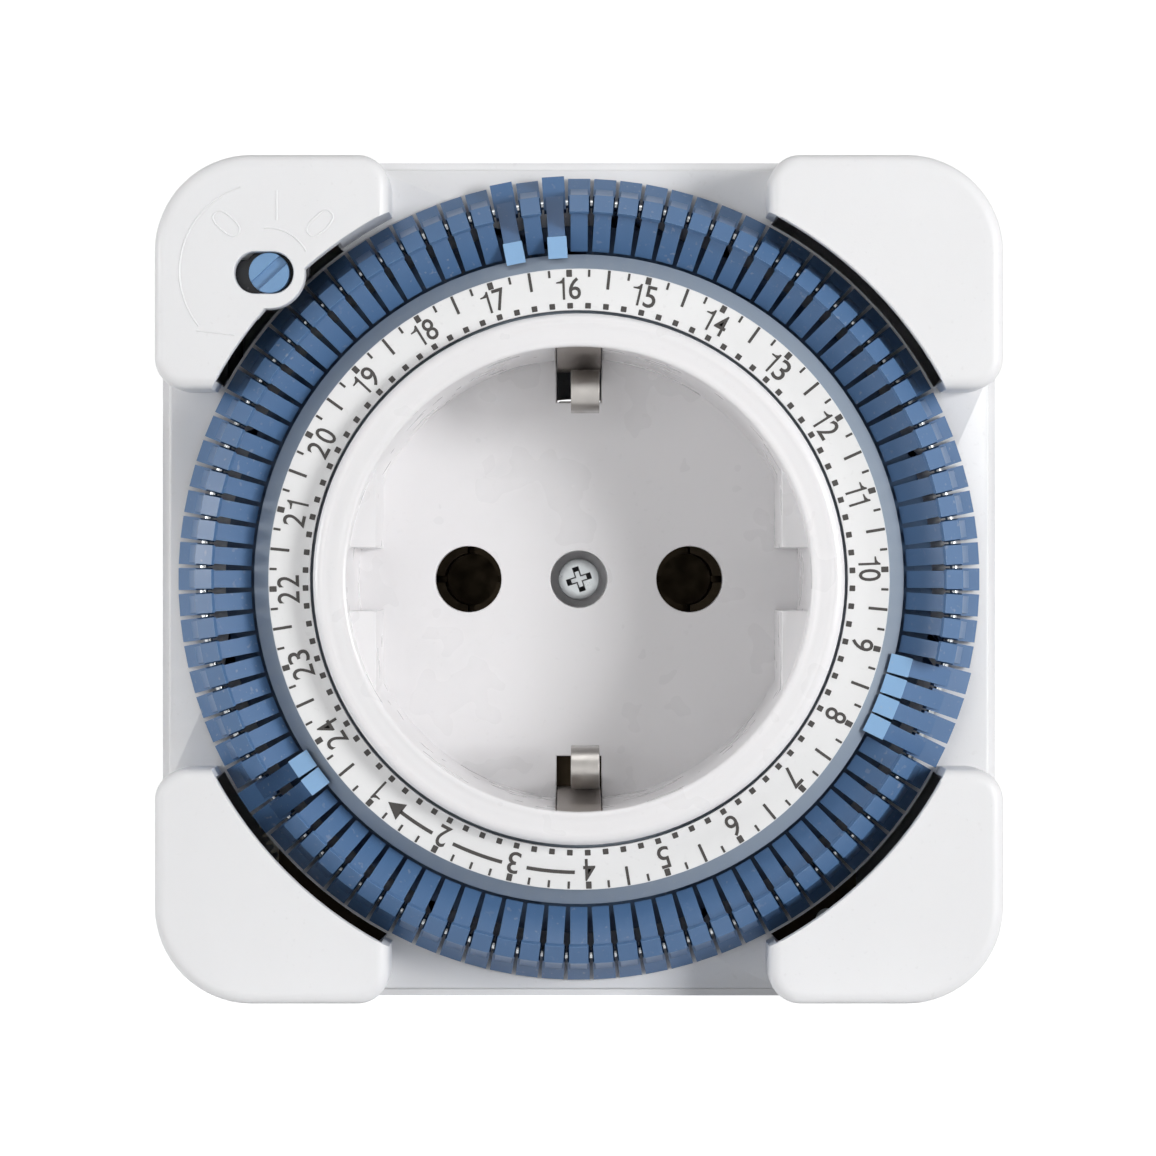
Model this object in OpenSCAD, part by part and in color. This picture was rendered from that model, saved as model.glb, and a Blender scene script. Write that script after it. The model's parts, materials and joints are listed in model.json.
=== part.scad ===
// Plug-in 24-hour timer switch: a socket cup inside a turning day dial with flip-over tabs.
// The pieces are drawn as if the timer lay on its back: x to the right, y up the front face,
// z from the wall face (z = 0) towards the user. stand() then sets it upright, front to -Y.

/* [Housing] */
// Side of the square housing
body_w = 70.2; // [70:0.1:74]
// Radius of the housing's four upright corners
corner_r = 8; // [5:0.5:9]
// Height of the socket rim above the wall face
rim_z = 40; // [39:0.5:44]
// How far the corner towers stay behind the rim
tower_drop = 0.5; // [0:0.1:1.2]
// How far the base plate lies behind the rim
plate_drop = 8.8; // [8.4:0.1:9.2]
// Height of the joint between the front and rear housings
split_z = 18; // [17:0.5:19]
// Wall thickness of both housings
wall = 2; // [1.6:0.1:2.2]
// Width of the small step round the plate's edge
edge_step = 0.6; // [0.3:0.1:0.9]
// Radius of the circle that the towers' inner walls lie on
tower_r = 34.2; // [34:0.1:34.6]
// Half the gap between two neighbouring towers
tower_end = 15.7; // [15.2:0.1:16.4]
// Radius of the towers' outer end corners
tower_end_r = 2.6; // [2.4:0.1:3]
// Overlap of the housings' lap joint
lap_h = 1.5; // [1:0.1:2]

/* [Plug] */
// Diameter of the plug body
plug_d = 37; // [36.6:0.1:37.4]
// Length of the plug body behind the wall face
plug_h = 17; // [16:0.5:18]
// Diameter of the plug pins
pin_d = 4.8; // [4.7:0.05:4.9]
// Free length of the plug pins
pin_l = 19; // [18.5:0.5:20]
// Distance between the two pins, and between the two socket holes
pin_spacing = 19; // [18.8:0.1:19.2]
// Width of the plug body's earth slots
earth_slot_w = 4; // [3.6:0.1:4.4]

/* [Socket] */
// Thickness of the socket cup's wall at its mouth
cup_wall = 1.45; // [1.3:0.05:1.5]
// How much narrower the socket cup's floor is than its mouth
cup_draft = 0.3; // [0.1:0.05:0.4]
// Depth of the socket recess
cup_depth = 17.5; // [17:0.1:18]
// How far the cup's rim stands out from its wall
rim_lip = 1.3; // [1.2:0.05:1.4]
// Height of the rim's skirt
rim_h = 2.8; // [2.4:0.1:3]
// Thickness of the cup's floor
cup_floor = 2; // [1.6:0.1:2.2]
// Diameter of the holes for the pins
pin_hole_d = 5.68; // [5.4:0.02:5.9]
// Half width of the notch between two guide ledges
guide_notch = 2.63; // [2.4:0.01:3]
// Half length of a pair of guide ledges
guide_half = 9.3; // [8.8:0.1:9.6]
// How far the guide ledges stand out from the cup's wall
guide_h = 2.1; // [1.7:0.1:2.3]
// How far the guide ledges stay below the mouth
guide_drop = 2.4; // [1.5:0.1:3.5]
// Width of the earth clips' slots in the cup
clip_slot_w = 3.85; // [3.6:0.05:4.2]
// Width of the earth clips
clip_w = 2.4; // [2:0.1:2.6]
// Diameter of the well of the centre screw
screw_well_d = 4.9; // [4.7:0.1:5.2]

/* [Dial] */
// Width of the printed number ring
ring_w = 3.5; // [3.3:0.05:3.6]
// Gap between the number ring and the cup's rim
ring_gap = 0.35; // [0.3:0.05:0.5]
// Thickness of the printed number ring
ring_t = 0.6; // [0.5:0.05:0.8]
// How far the number ring lies behind the rim
ring_drop = 2.3; // [2:0.1:2.5]
// Width of the cone beside the number ring
cone_w = 1.25; // [1.15:0.05:1.3]
// Height of the cone
cone_h = 1.5; // [1.4:0.1:1.7]
// How far the cone stands out over the carrier's hub
hub_inset = 0.85; // [0.8:0.05:1.2]
// Number of tabs, one for each quarter of an hour
tab_count = 96; // [96:96]
// Gap between two tabs at their feet
tab_gap = 0.2; // [0.18:0.01:0.3]
// Gap between two tabs at their tips
tip_gap = 0.17; // [0.15:0.01:0.25]
// How much narrower a tab's neck is than its foot
neck_step = 0.44; // [0.36:0.02:0.5]
// Angle between a tab's two positions
tab_swing = 40; // [36:1:40]
// Room for the tabs between the hinge wire and the towers' inner walls
tab_room = 2.7; // [2.6:0.05:2.8]
// Reach of the tabs from the hinge wire in to the cone
tab_reach = 4.45; // [4.4:0.05:4.5]
// Diameter of the hinge wire
wire_d = 0.7; // [0.6:0.02:0.74]
// Height of the hinge wire's middle above the base plate
wire_lift = 1.4; // [1.4:0.05:1.5]
// Thickness of the carrier's floor and fingers under the tabs
finger_t = 0.4; // [0.35:0.05:0.4]
// Width of the carrier's fingers
finger_w = 0.7; // [0.6:0.02:0.74]

/* [Drive] */
// Module of the dial gear
dial_m = 0.4; // [0.4:0.4]
// How far the dial gear's pitch circle lies inside the carrier's hub
gear_inset = 2.2; // [2.2:0.1:3]
// Teeth of the drive pinion
drive_teeth = 12; // [11:1:13]
// Direction of the drive pinion, seen from the front
drive_angle = 225; // [222:1:228]
// Height of the dial gear's back face above the wall face
dial_gear_z = 24.2; // [23.8:0.1:24.6]
// Width of the dial gear
dial_gear_t = 2; // [1.6:0.1:2.2]
// Module of the reduction wheels
train_m = 0.25; // [0.25:0.25]
// Teeth of the pinions in the reduction train
pinion_teeth = 8; // [8:8]
// Teeth of the three middle wheels
wheel_teeth = 64; // [60:1:65]
// Teeth of the first wheel, which the motor turns
first_teeth = 60; // [58:1:62]
// Teeth of the clutch wheel on the drive pinion
clutch_teeth = 75; // [73:1:76]
// Height of one layer of the reduction train
layer_h = 1.5; // [1.4:0.05:1.6]
// Width of the reduction wheels
wheel_t = 0.8; // [0.7:0.05:0.9]
// Height of the lower gear plate's back face
plate_z = 10; // [9.9:0.05:10]
// Thickness of the gear plates
plate_t = 0.8; // [0.6:0.1:1]
// Diameter of the arbors
arbor_d = 1; // [0.9:0.05:1.1]
// Radial running clearance of wheels, levers and knobs
run_gap = 0.04; // [0.03:0.01:0.06]
// Outer diameter of the motor
motor_d = 22; // [21:0.5:22]
// Height of the motor
motor_h = 7.7; // [7.4:0.05:7.7]
// Diameter of the rotor magnet
rotor_d = 9; // [8:0.5:9.5]

/* [Switch] */
// Width of the override slot
slot_w = 4.9; // [4.8:0.05:5.1]
// Height of the override slot
slot_h = 3.46; // [3.42:0.02:3.6]
// Distance of the slot's middle beyond the towers' inner walls
slot_out = 2.08; // [2:0.05:2.2]
// Direction of the slot's middle, seen from the front
slot_heading = 135.78; // [135:0.1:136.5]
// Diameter of the override knob
knob_d = 3.35; // [3.2:0.05:3.36]
// Resting place of the knob, to the right of the slot's middle
knob_shift = 0.4; // [0.35:0.01:0.42]
// Angle of the knob's screwdriver slot
knob_angle = 43; // [0:1:90]
// Travel of the switch slider to the left
slider_travel = 1.1; // [0.9:0.05:1.1]
// Radius of the boss round the slot, which reaches over the ring
lobe_r = 3; // [2.9:0.05:3.1]
// Length, width and height of the microswitch
micro_l = 12.8; // [12:0.1:13]
micro_w = 6; // [5.6:0.1:6.4]
micro_h = 9; // [8:0.1:10]

/* [Screws] */
// Diameter of the centre screw's head
centre_head_d = 3.6; // [3.4:0.1:3.8]
// Shank diameter of the centre screw
centre_shank_d = 2.2; // [2:0.1:2.4]
// Head diameter of the housing screws
case_head_d = 4.4; // [4:0.1:4.8]
// Shank diameter of the housing screws
case_shank_d = 2.2; // [2:0.1:2.4]
// Distance of the housing screws from the housing's sides
case_screw_inset = 5.7; // [5.5:0.1:5.9]

/* [Contacts] */
// Thickness of the brass strips and busbars
strip_t = 0.8; // [0.6:0.05:0.9]
// Thickness of the earth clips
clip_t = 0.6; // [0.5:0.05:0.7]
// Bore of the socket contacts when a pin opens them
contact_bore_d = 4.6; // [4.4:0.05:4.7]
// Height of the socket contacts
contact_h = 9; // [8:0.5:10]

/* [Hidden] */
part_gap = 0.15;
body_half = body_w / 2;
case_screw_xy = body_half - case_screw_inset;
tab_pitch = 360 / tab_count;
wire_ring_r = tower_r - tab_room;
cone_r = wire_ring_r - tab_reach;
hub_r = cone_r - hub_inset;
ring_out_r = cone_r - cone_w;
ring_in_r = ring_out_r - ring_w;
rim_r = ring_in_r - ring_gap;
cup_r = rim_r - rim_lip;
mouth_r = cup_r - cup_wall;
floor_r = mouth_r - cup_draft;
guide_x = floor_r - guide_h;
tab_foot_w = wire_ring_r * tab_pitch * PI / 180 - tab_gap;
tab_tip_w = cone_r * tab_pitch * PI / 180 - tip_gap;
tab_neck_w = tab_foot_w - neck_step;
slot_x = (tower_r + slot_out) * cos(slot_heading);
slot_y = (tower_r + slot_out) * sin(slot_heading);
tower_z = rim_z - tower_drop;
base_z = rim_z - plate_drop;
floor_z = rim_z - cup_depth;
cup_back_z = floor_z - cup_floor;
ring_top_z = rim_z - ring_drop;
ring_seat_z = ring_top_z - ring_t;
wire_z = base_z + wire_lift;
finger_z = base_z + 0.2;
finger_top_z = finger_z + finger_t;
floor_out_r = wire_ring_r - 1.8;
opening_r = wire_ring_r - 3.1;
wire_r = wire_d / 2;
wire_fit = 0.05;
tab_first = 93.72;
on_tabs = [0, 2, 32, 33, 64, 65, 66, 67];
off_tabs = [1, 31, 34, 63, 68, 80];
hinged_tabs = concat(on_tabs, off_tabs);
bore_r = cup_r + run_gap + 0.03;
dial_teeth = 2 * round((hub_r - gear_inset) / dial_m);
dial_r = dial_m * dial_teeth / 2;
drive_distance = dial_m * (dial_teeth + drive_teeth) / 2;
drive_at = drive_distance * [cos(drive_angle), sin(drive_angle)];
first_distance = train_m * (pinion_teeth + first_teeth) / 2;
mid_distance = train_m * (pinion_teeth + wheel_teeth) / 2;
clutch_distance = train_m * (pinion_teeth + clutch_teeth) / 2;
clutch_heading = -11;
arbor_heading = -9;
rotor_heading = 8;
arbor_b_at = drive_at + clutch_distance * [cos(clutch_heading), sin(clutch_heading)];
arbor_a_at = arbor_b_at + mid_distance * [cos(arbor_heading), sin(arbor_heading)];
rotor_at = arbor_a_at + first_distance * [cos(rotor_heading), sin(rotor_heading)];
train_z = plate_z + plate_t + 0.2;
upper_plate_z = train_z + 5 * layer_h + 0.1;
motor_z = plate_z - motor_h;
knob_at = [slot_x + knob_shift, slot_y];
pin_r = pin_d / 2;
collar_z = -2;
contact_out_r = contact_bore_d / 2 + strip_t;
carrier_r = plug_d / 2 - 2.6;
carrier_top_z = 2.2;
contact_z = carrier_top_z + strip_t;
strip_w = 5.6;
riser_x = carrier_r - 0.4;
link_y = carrier_r - 1.1;
earth_z = cup_back_z - 0.9;
blade_w = 2.4;
slider_x = 4.1 - body_half;
micro_y = 13.5;
micro_at = [slider_x + 2.2, micro_y, 5.5];
plunger_w = 2;
plunger_y = micro_y + 2;
plunger_z = 9.2;
feed_x = slider_x + 11.5;
feed_blade_z = 6.6;
out_x = slider_x + 6.6;
out_blade_z = 12.4;
knob_neck_r = 1.15;
pin_stem_r = 2;
out_strip_x = -11;
lead_angles = [48, 140];
lead_z = 5.4;
pillar_neck_r = 1;
shaft_r = 0.9;
pivot_r = 0.6;
bobbin_low = motor_z + 0.8;
bobbin_high = plate_z - 0.8;
reader_heading = 135.5;
$fn = 64;

function polar(radius, angle) = radius * [cos(angle), sin(angle)];

// Turns a piece that was drawn on its back upright, with its front to -Y.
module stand() {
    rotate([90, 0, 0]) children();
}

// A disc or post from height z0 to z1.
module post(radius, z0, z1) {
    translate([0, 0, z0]) cylinder(h = z1 - z0, r = radius);
}

// A tube from height z0 to z1.
module tube(outer, inner, z0, z1) {
    difference() {
        post(outer, z0, z1);
        post(inner, z0 - 1, z1 + 1);
    }
}

// A flat outline raised from height z0 to z1.
module slab(z0, z1) {
    translate([0, 0, z0]) linear_extrude(z1 - z0) children();
}

// A block between two corners.
module block(low, high) {
    translate(low) cube(high - low);
}

// A square with round corners, centred.
module round_square(side, radius) {
    half = side / 2 - radius;
    square([side, 2 * half], center = true);
    square([2 * half, side], center = true);
    for (sx = [-1, 1], sy = [-1, 1]) translate([sx * half, sy * half]) circle(radius);
}

// A gear outline with straight-sided teeth; one tooth points along +X.
module gear_outline(teeth, gear_module) {
    pitch_r = gear_module * teeth / 2;
    tip_r = pitch_r + 0.85 * gear_module;
    root_r = pitch_r - 1.15 * gear_module;
    step = 360 / teeth;
    polygon([for (i = [0 : teeth - 1]) each [
        polar(root_r, (i - 0.31) * step),
        polar(tip_r, (i - 0.1) * step),
        polar(tip_r, (i + 0.1) * step),
        polar(root_r, (i + 0.31) * step)
    ]]);
}

// Outline of one corner tower, top right, drawn smaller by inset all round.
module tower_outline(inset = 0) {
    end_r = max(0.4, tower_end_r - inset);
    end_mid = tower_end + inset + body_half;
    difference() {
        intersection() {
            round_square(body_w - 2 * inset, corner_r - inset);
            translate([end_mid, -inset]) round_square(body_w, end_r);
            translate([-inset, end_mid]) round_square(body_w, end_r);
        }
        circle(tower_r + inset, $fn = 180);
    }
}

// The open gap under a tower's inner edge, from one side of its diagonal to the other.
module arc_gap(from, to, top = tower_z - 1.2) {
    low = base_z - wall - 0.1;
    intersection() {
        tube(tower_r + wall + 0.3, tower_r - 0.25, low, top, $fn = 180);
        rotate(45) block([tower_r - 3, from, low - 1], [tower_r + wall + 2, to, tower_z]);
    }
}

// Round hole shape of a given width and height, with its middle at the origin.
module oblong(width, height) {
    for (s = [-1, 1]) translate([s * (width - height) / 2, 0]) circle(height / 2);
    square([width - height, height], center = true);
}

// Places copies at the four housing screws.
module at_case_screws() {
    for (sx = [-1, 1], sy = [-1, 1]) translate([sx * case_screw_xy, sy * case_screw_xy, 0]) children();
}

module front_housing() {
    gap_half = 9.7;
    screw_wall = 1.4;
    color("whitesmoke") stand() difference() {
        union() {
            difference() {
                union() {
                    slab(split_z, base_z - edge_step) round_square(body_w, corner_r);
                    slab(base_z - edge_step, base_z)
                        round_square(body_w - 2 * edge_step, corner_r - edge_step);
                    for (turn = [0 : 90 : 270])
                        rotate(turn) slab(base_z - edge_step, tower_z) tower_outline();
                    translate(knob_at) post(lobe_r, tower_z - wall, tower_z);
                }
                slab(split_z - 1, base_z - wall) round_square(body_w - 2 * wall, corner_r - wall);
                for (turn = [0 : 90 : 270])
                    rotate(turn) slab(split_z, tower_z - wall) tower_outline(wall);
                post(opening_r, split_z, base_z + 1, $fn = 180);
            }
            at_case_screws() post(case_shank_d / 2 + screw_wall, split_z, tower_z - wall);
        }
        at_case_screws() post(case_shank_d / 2, split_z - 1, tower_z - 2 * wall);
        difference() {
            slab(split_z - 1, split_z + lap_h) round_square(body_w + 1, corner_r);
            slab(split_z - 2, split_z + lap_h + 1)
                round_square(body_w - wall, corner_r - wall / 2);
        }
        rotate(reader_heading) block([tower_r - 1.6, -6, base_z + 0.6],
            [tower_r + 2.6, 6, tower_z - wall]);
        for (turn = [0, 180, 270]) rotate(turn) arc_gap(-gap_half, gap_half);
        rotate(90) arc_gap(lobe_r + 0.6, gap_half);
        rotate(90) arc_gap(-5.5, lobe_r + 1, tower_z - wall);
        translate([slot_x, slot_y, tower_z - wall - 1]) linear_extrude(wall + 2) oblong(slot_w, slot_h);
    }
}

module rear_housing() {
    floor_t = wall;
    plug_wall = 2.2;
    color("white") stand() difference() {
        union() {
            difference() {
                union() {
                    slab(0, split_z) round_square(body_w, corner_r);
                    slab(0, split_z + lap_h - part_gap)
                        difference() {
                            round_square(body_w, corner_r);
                            round_square(body_w - wall + 2 * part_gap, corner_r - wall / 2 + part_gap);
                        }
                    post(plug_d / 2, -plug_h, 1);
                }
                slab(floor_t, split_z + lap_h) round_square(body_w - 2 * wall, corner_r - wall);
                post(plug_d / 2 - plug_wall, -plug_h + 3, floor_t + 1);
            }
            for (s = [-1, 1]) translate([s * pin_spacing / 2, 0, 0])
                post(pin_r + 2, -plug_h + 1, -2);
            post(4, -plug_h + 1, cup_back_z - 6.5);
            at_case_screws() post(case_head_d / 2 + 1.2, 0, split_z);
        }
        for (s = [-1, 1]) translate([s * pin_spacing / 2, 0, 0]) post(pin_stem_r, -plug_h - 1, 3);
        for (s = [-1, 1]) block([-earth_slot_w / 2, s > 0 ? plug_d / 2 - 3 : -plug_d / 2 - 1, -plug_h - 1],
            [earth_slot_w / 2, s > 0 ? plug_d / 2 + 1 : -plug_d / 2 + 3, -0.01]);
        post(centre_shank_d / 2, -plug_h + 3, cup_back_z);
        at_case_screws() {
            post(case_head_d / 2 + 0.1, -1, 8);
            post(case_shank_d / 2 + 0.1, -1, split_z + 1);
        }
        for (i = [-3 : 3]) for (s = [-1, 1])
            block([s * 29 - 3, i * 3 - 0.6, -1], [s * 29 + 3, i * 3 + 0.6, 0.6]);
    }
}

// The hollow of the socket cup, narrowed by the guide ledges.
module cup_hollow() {
    ledge_top = rim_z - guide_drop;
    difference() {
        translate([0, 0, floor_z]) cylinder(h = cup_depth + 0.01, r1 = floor_r, r2 = mouth_r, $fn = 180);
        for (sx = [0, 1], sy = [0, 1]) mirror([sx, 0, 0]) mirror([0, sy, 0])
            block([guide_x, guide_notch, floor_z - 1], [mouth_r + 1, guide_half, ledge_top]);
    }
}

module socket_cup() {
    slot_in = floor_r - 3.7;
    groove_r = mouth_r + 0.7;
    well_z = cup_back_z - 6.5;
    color("white") stand() difference() {
        union() {
            post(cup_r, cup_back_z, rim_z - 0.5, $fn = 180);
            post(rim_r, rim_z - rim_h, rim_z, $fn = 180);
            post(screw_well_d / 2 + 1.2, well_z, cup_back_z + 0.5);
        }
        cup_hollow();
        for (s = [-1, 1]) translate([s * pin_spacing / 2, 0, 0])
            post(pin_hole_d / 2, cup_back_z - 1, floor_z + 1);
        for (s = [0, 180]) rotate(s)
            block([-clip_slot_w / 2, slot_in, cup_back_z - 1],
                [clip_slot_w / 2, groove_r, rim_z - 0.8]);
        post(screw_well_d / 2, well_z + 1.6, floor_z + 1);
        post(centre_shank_d / 2 + 0.1, well_z - 1, floor_z);
    }
}

// A cross-recess screw along z with its head's top at top_z.
module screw(head_r, head_t, shank_r, length, top_z) {
    difference() {
        union() {
            post(head_r, top_z - head_t, top_z);
            post(shank_r, top_z - length, top_z - head_t + 0.1);
        }
        translate([0, 0, top_z - head_t * 0.6]) cylinder(h = head_t, r = head_r * 0.48, $fn = 6);
    }
}

module centre_screw() {
    seat_z = cup_back_z - 4.9;
    color("silver") stand() screw(centre_head_d / 2, 1.6, centre_shank_d / 2, 14, seat_z + 1.6);
}

module housing_screws() {
    color("silver") stand() at_case_screws() translate([0, 0, 8]) mirror([0, 0, 1])
        screw(case_head_d / 2, 1.8, case_shank_d / 2, 24, 1.8);
}

// Angle of tab k, and the headings of all tabs.
function tab_heading(k) = tab_first + k * tab_pitch;

function is_in(k, list) = len([for (v = list) if (v == k) v]) > 0;

module dial_carrier() {
    sleeve_r = bore_r + 1.3;
    gear_top = dial_gear_z + dial_gear_t;
    lip_z = ring_seat_z - cone_h;
    post_half = 0.45;
    color("steelblue") stand() union() {
        rotate_extrude($fn = 180) polygon([
            [bore_r, dial_gear_z], [dial_r - 1, dial_gear_z], [dial_r - 1, gear_top],
            [sleeve_r, gear_top], [sleeve_r, ring_seat_z - 1.4], [hub_r - 1.4, ring_seat_z - 1.4],
            [hub_r - 1.4, finger_z], [floor_out_r, finger_z], [floor_out_r, finger_top_z],
            [hub_r, finger_top_z], [hub_r, lip_z - 0.4], [cone_r, lip_z - 0.1],
            [cone_r, lip_z], [ring_out_r, ring_seat_z], [ring_in_r, ring_seat_z],
            [ring_in_r, ring_seat_z - 1], [bore_r, ring_seat_z - 1]
        ]);
        slab(dial_gear_z, gear_top) difference() {
            gear_outline(dial_teeth, dial_m);
            circle(dial_r - 1.2, $fn = 180);
        }
        difference() {
            for (k = [0 : tab_count - 1]) rotate(tab_heading(k)) {
                block([floor_out_r - 0.2, -finger_w / 2, finger_z],
                    [wire_ring_r + post_half, finger_w / 2, finger_top_z]);
                block([wire_ring_r - post_half, -finger_w / 2, finger_z],
                    [wire_ring_r + post_half, finger_w / 2, wire_z + post_half]);
            }
            rotate_extrude($fn = 192) translate([wire_ring_r, wire_z]) circle(wire_r + 0.03, $fn = 24);
        }
    }
}

module number_ring() {
    color("white") stand()
        tube(ring_out_r - 0.05, ring_in_r, ring_seat_z, ring_top_z, $fn = 180);
}

module hinge_wire() {
    color("silver") stand()
        rotate_extrude($fn = 192) translate([wire_ring_r, wire_z]) circle(wire_r, $fn = 24);
}

// A slice of a tab, centred on its middle.
module tab_slice(width) {
    rotate([90, 0, 0]) linear_extrude(width, center = true) children();
}

// One tab round the hinge wire, tipped inwards; x points away from the dial's middle.
module tab_body() {
    hub = wire_r + 0.4;
    heel = [2.28, 0.67];
    knee = [0.59, 1.16];
    brow = [-2.98, 4.1];
    tip = [-4.81, 4.02];
    hook = [-4.72, 3.6];
    throat = [-4.2, 3.2];
    toe = [-4.97, -0.6];
    sole = [-0.4, -0.65];
    difference() {
        union() {
            tab_slice(tab_neck_w) polygon([heel, knee, brow, tip, hook, throat, toe, sole]);
            tab_slice(tab_tip_w) polygon([brow, tip, hook, brow - [0, 0.7]]);
            tab_slice(tab_foot_w) {
                polygon([heel, knee, [-0.55, 1.5], [-0.7, 0], sole]);
                circle(hub);
            }
        }
        tab_slice(tab_foot_w + 1) circle(wire_r + wire_fit);
        tab_slice(finger_w + 0.1) {
            circle(0.72);
            polygon([[-0.72, 0], [-0.72, -1.5], [2.2, -1.5], [0.72, 0.25]]);
        }
    }
}

// Tab k in its place on the ring, tipped inwards or standing.
module tab(k) {
    rotate(tab_heading(k)) translate([wire_ring_r, 0, wire_z])
        rotate([0, is_in(k, on_tabs) ? 0 : tab_swing, 0]) tab_body();
}

function tab_name(k) = str("tab_", k < 10 ? "0" : "", k);

module standing_tabs() {
    color("steelblue") stand()
        for (k = [0 : tab_count - 1]) if (!is_in(k, hinged_tabs)) tab(k);
}

// A plug pin: its free end, a thinner stem through the plug body, and a collar behind that.
module plug_pin(side) {
    nose = 1.2;
    color("silver") stand() translate([side * pin_spacing / 2, 0, 0]) {
        post(pin_r, nose - plug_h - pin_l, -plug_h);
        post(pin_stem_r, -plug_h, collar_z);
        translate([0, 0, -plug_h - pin_l]) cylinder(h = nose, r1 = pin_r - nose, r2 = pin_r);
        post(pin_r + 1.2, collar_z, collar_z + 1.2);
    }
}

// A slit tulip contact that grips a pin from the front.
module socket_contact(side) {
    color("goldenrod") stand() translate([side * pin_spacing / 2, 0, 0]) difference() {
        tube(contact_out_r, contact_bore_d / 2, contact_z, contact_z + contact_h);
        for (turn = [0, 90]) rotate(turn)
            block([-contact_out_r - 1, -0.3, contact_z + 2],
                [contact_out_r + 1, 0.3, contact_z + contact_h + 1]);
    }
}

module contact_carrier() {
    sleeve_r = contact_out_r + 1.3;
    color("dimgray") stand() difference() {
        union() {
            post(carrier_r, carrier_top_z - 2, carrier_top_z);
            for (s = [-1, 1]) translate([s * pin_spacing / 2, 0, 0])
                post(sleeve_r, carrier_top_z - 0.1, contact_z + contact_h + 1.5);
        }
        for (s = [-1, 1]) translate([s * pin_spacing / 2, 0, 0]) {
            post(contact_out_r + 0.1, carrier_top_z - 3, contact_z + contact_h + 2);
            block([-7, -strip_w / 2 - 0.1, carrier_top_z], [7, strip_w / 2 + 0.1, contact_z]);
        }
        for (s = [-1, 1]) mirror([s > 0 ? 0 : 1, 0, 0])
            block([riser_x - strip_t - 0.5, -strip_w / 2 - 0.3, -1],
                [carrier_r + 1, strip_w / 2 + 0.3, 5]);
        for (turn = [0, 180]) rotate(turn)
            block([-strip_w / 2, link_y - 0.4, -1], [strip_w / 2, carrier_r + 1, 5]);
        block([out_strip_x - 0.1, 0, carrier_top_z], [out_strip_x + 3.1, carrier_r, contact_z]);
        post(4.2, -1, carrier_top_z + 1);
    }
}

// The strip under a contact that runs down beside its pin.
module contact_foot() {
    block([pin_spacing / 2 - 3.4, -strip_w / 2, carrier_top_z], [riser_x, strip_w / 2, contact_z]);
}

// The strip on a pin's collar that rises at the plug body's wall.
module pin_strip(rise) {
    low = collar_z + 1.2;
    block([pin_spacing / 2 - 3, -strip_w / 2, low], [riser_x, strip_w / 2, low + strip_t]);
    block([riser_x - strip_t, -strip_w / 2, low], [riser_x, strip_w / 2, rise]);
}

module neutral_busbar() {
    color("goldenrod") stand() {
        pin_strip(contact_z);
        contact_foot();
    }
}

module line_feed_busbar() {
    run_z = wall;
    color("goldenrod") stand() {
        mirror([1, 0, 0]) pin_strip(run_z + strip_t);
        block([feed_x, -strip_w / 2, run_z], [-riser_x + 0.1, strip_w / 2, run_z + strip_t]);
        block([feed_x, -strip_w / 2, run_z], [feed_x + blade_w, micro_y - 4.5, run_z + strip_t]);
        block([feed_x, micro_y - 4.5 - strip_t, run_z],
            [feed_x + blade_w, micro_y - 4.5, feed_blade_z + strip_t]);
    }
}

module line_out_busbar() {
    cross_z = 9;
    cross_y = 7.2;
    color("goldenrod") stand() {
        block([-riser_x + 2.4, -strip_w / 2, carrier_top_z],
            [3.4 - pin_spacing / 2, strip_w / 2, contact_z]);
        block([out_strip_x, 0, carrier_top_z], [out_strip_x + 3, cross_y + strip_t, contact_z]);
        block([out_strip_x, cross_y, carrier_top_z],
            [out_strip_x + 3, cross_y + strip_t, cross_z + strip_t]);
        block([out_x, cross_y - 2, cross_z], [out_strip_x + 3, cross_y + strip_t, cross_z + strip_t]);
        block([out_x, cross_y, cross_z], [out_x + blade_w, micro_y - 4.5, cross_z + strip_t]);
        block([out_x, micro_y - 4.5 - strip_t, cross_z],
            [out_x + blade_w, micro_y - 4.5, out_blade_z + strip_t]);
    }
}

// Side view of one earth clip of the socket: riser, bend and nose.
module clip_profile() {
    bend_r = 1.73;
    bend_z = rim_z - 7;
    nose_y = mouth_r - 5.1;
    riser_y = nose_y + 2 * bend_r;
    translate([riser_y - clip_t, earth_z]) square([clip_t, bend_z - earth_z]);
    translate([nose_y, bend_z - 5.5]) square([clip_t, 5.5]);
    intersection() {
        translate([nose_y + bend_r, bend_z]) difference() {
            circle(bend_r);
            circle(bend_r - clip_t);
        }
        translate([nose_y, bend_z]) square(2 * bend_r);
    }
    translate([0, earth_z]) square([floor_r - 0.4, clip_t]);
}

// Side view of the leaning upright behind a clip, in the cup's groove.
module guard_profile() {
    top_z = rim_z - 1;
    polygon([[floor_r - 1, earth_z], [floor_r - 0.4, earth_z], [mouth_r + 0.55, top_z], [mouth_r, top_z]]);
}

module earth_bow() {
    ring_in = screw_well_d / 2 + 1.4;
    clip_shift = 0.52;
    guard_w = clip_slot_w - 0.16;
    color("lightgray") stand() difference() {
        union() {
            for (turn = [0, 180]) rotate(turn) {
                translate([(turn == 0 ? 1 : -1) * clip_shift, 0, 0]) rotate([90, 0, 90])
                    translate([0, 0, -clip_w / 2]) linear_extrude(clip_w) clip_profile();
                rotate([90, 0, 90])
                    translate([0, 0, -guard_w / 2]) linear_extrude(guard_w) guard_profile();
            }
            post(ring_in + 1.3, earth_z, earth_z + clip_t);
        }
        post(ring_in, earth_z - 1, earth_z + 1);
    }
}

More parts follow.
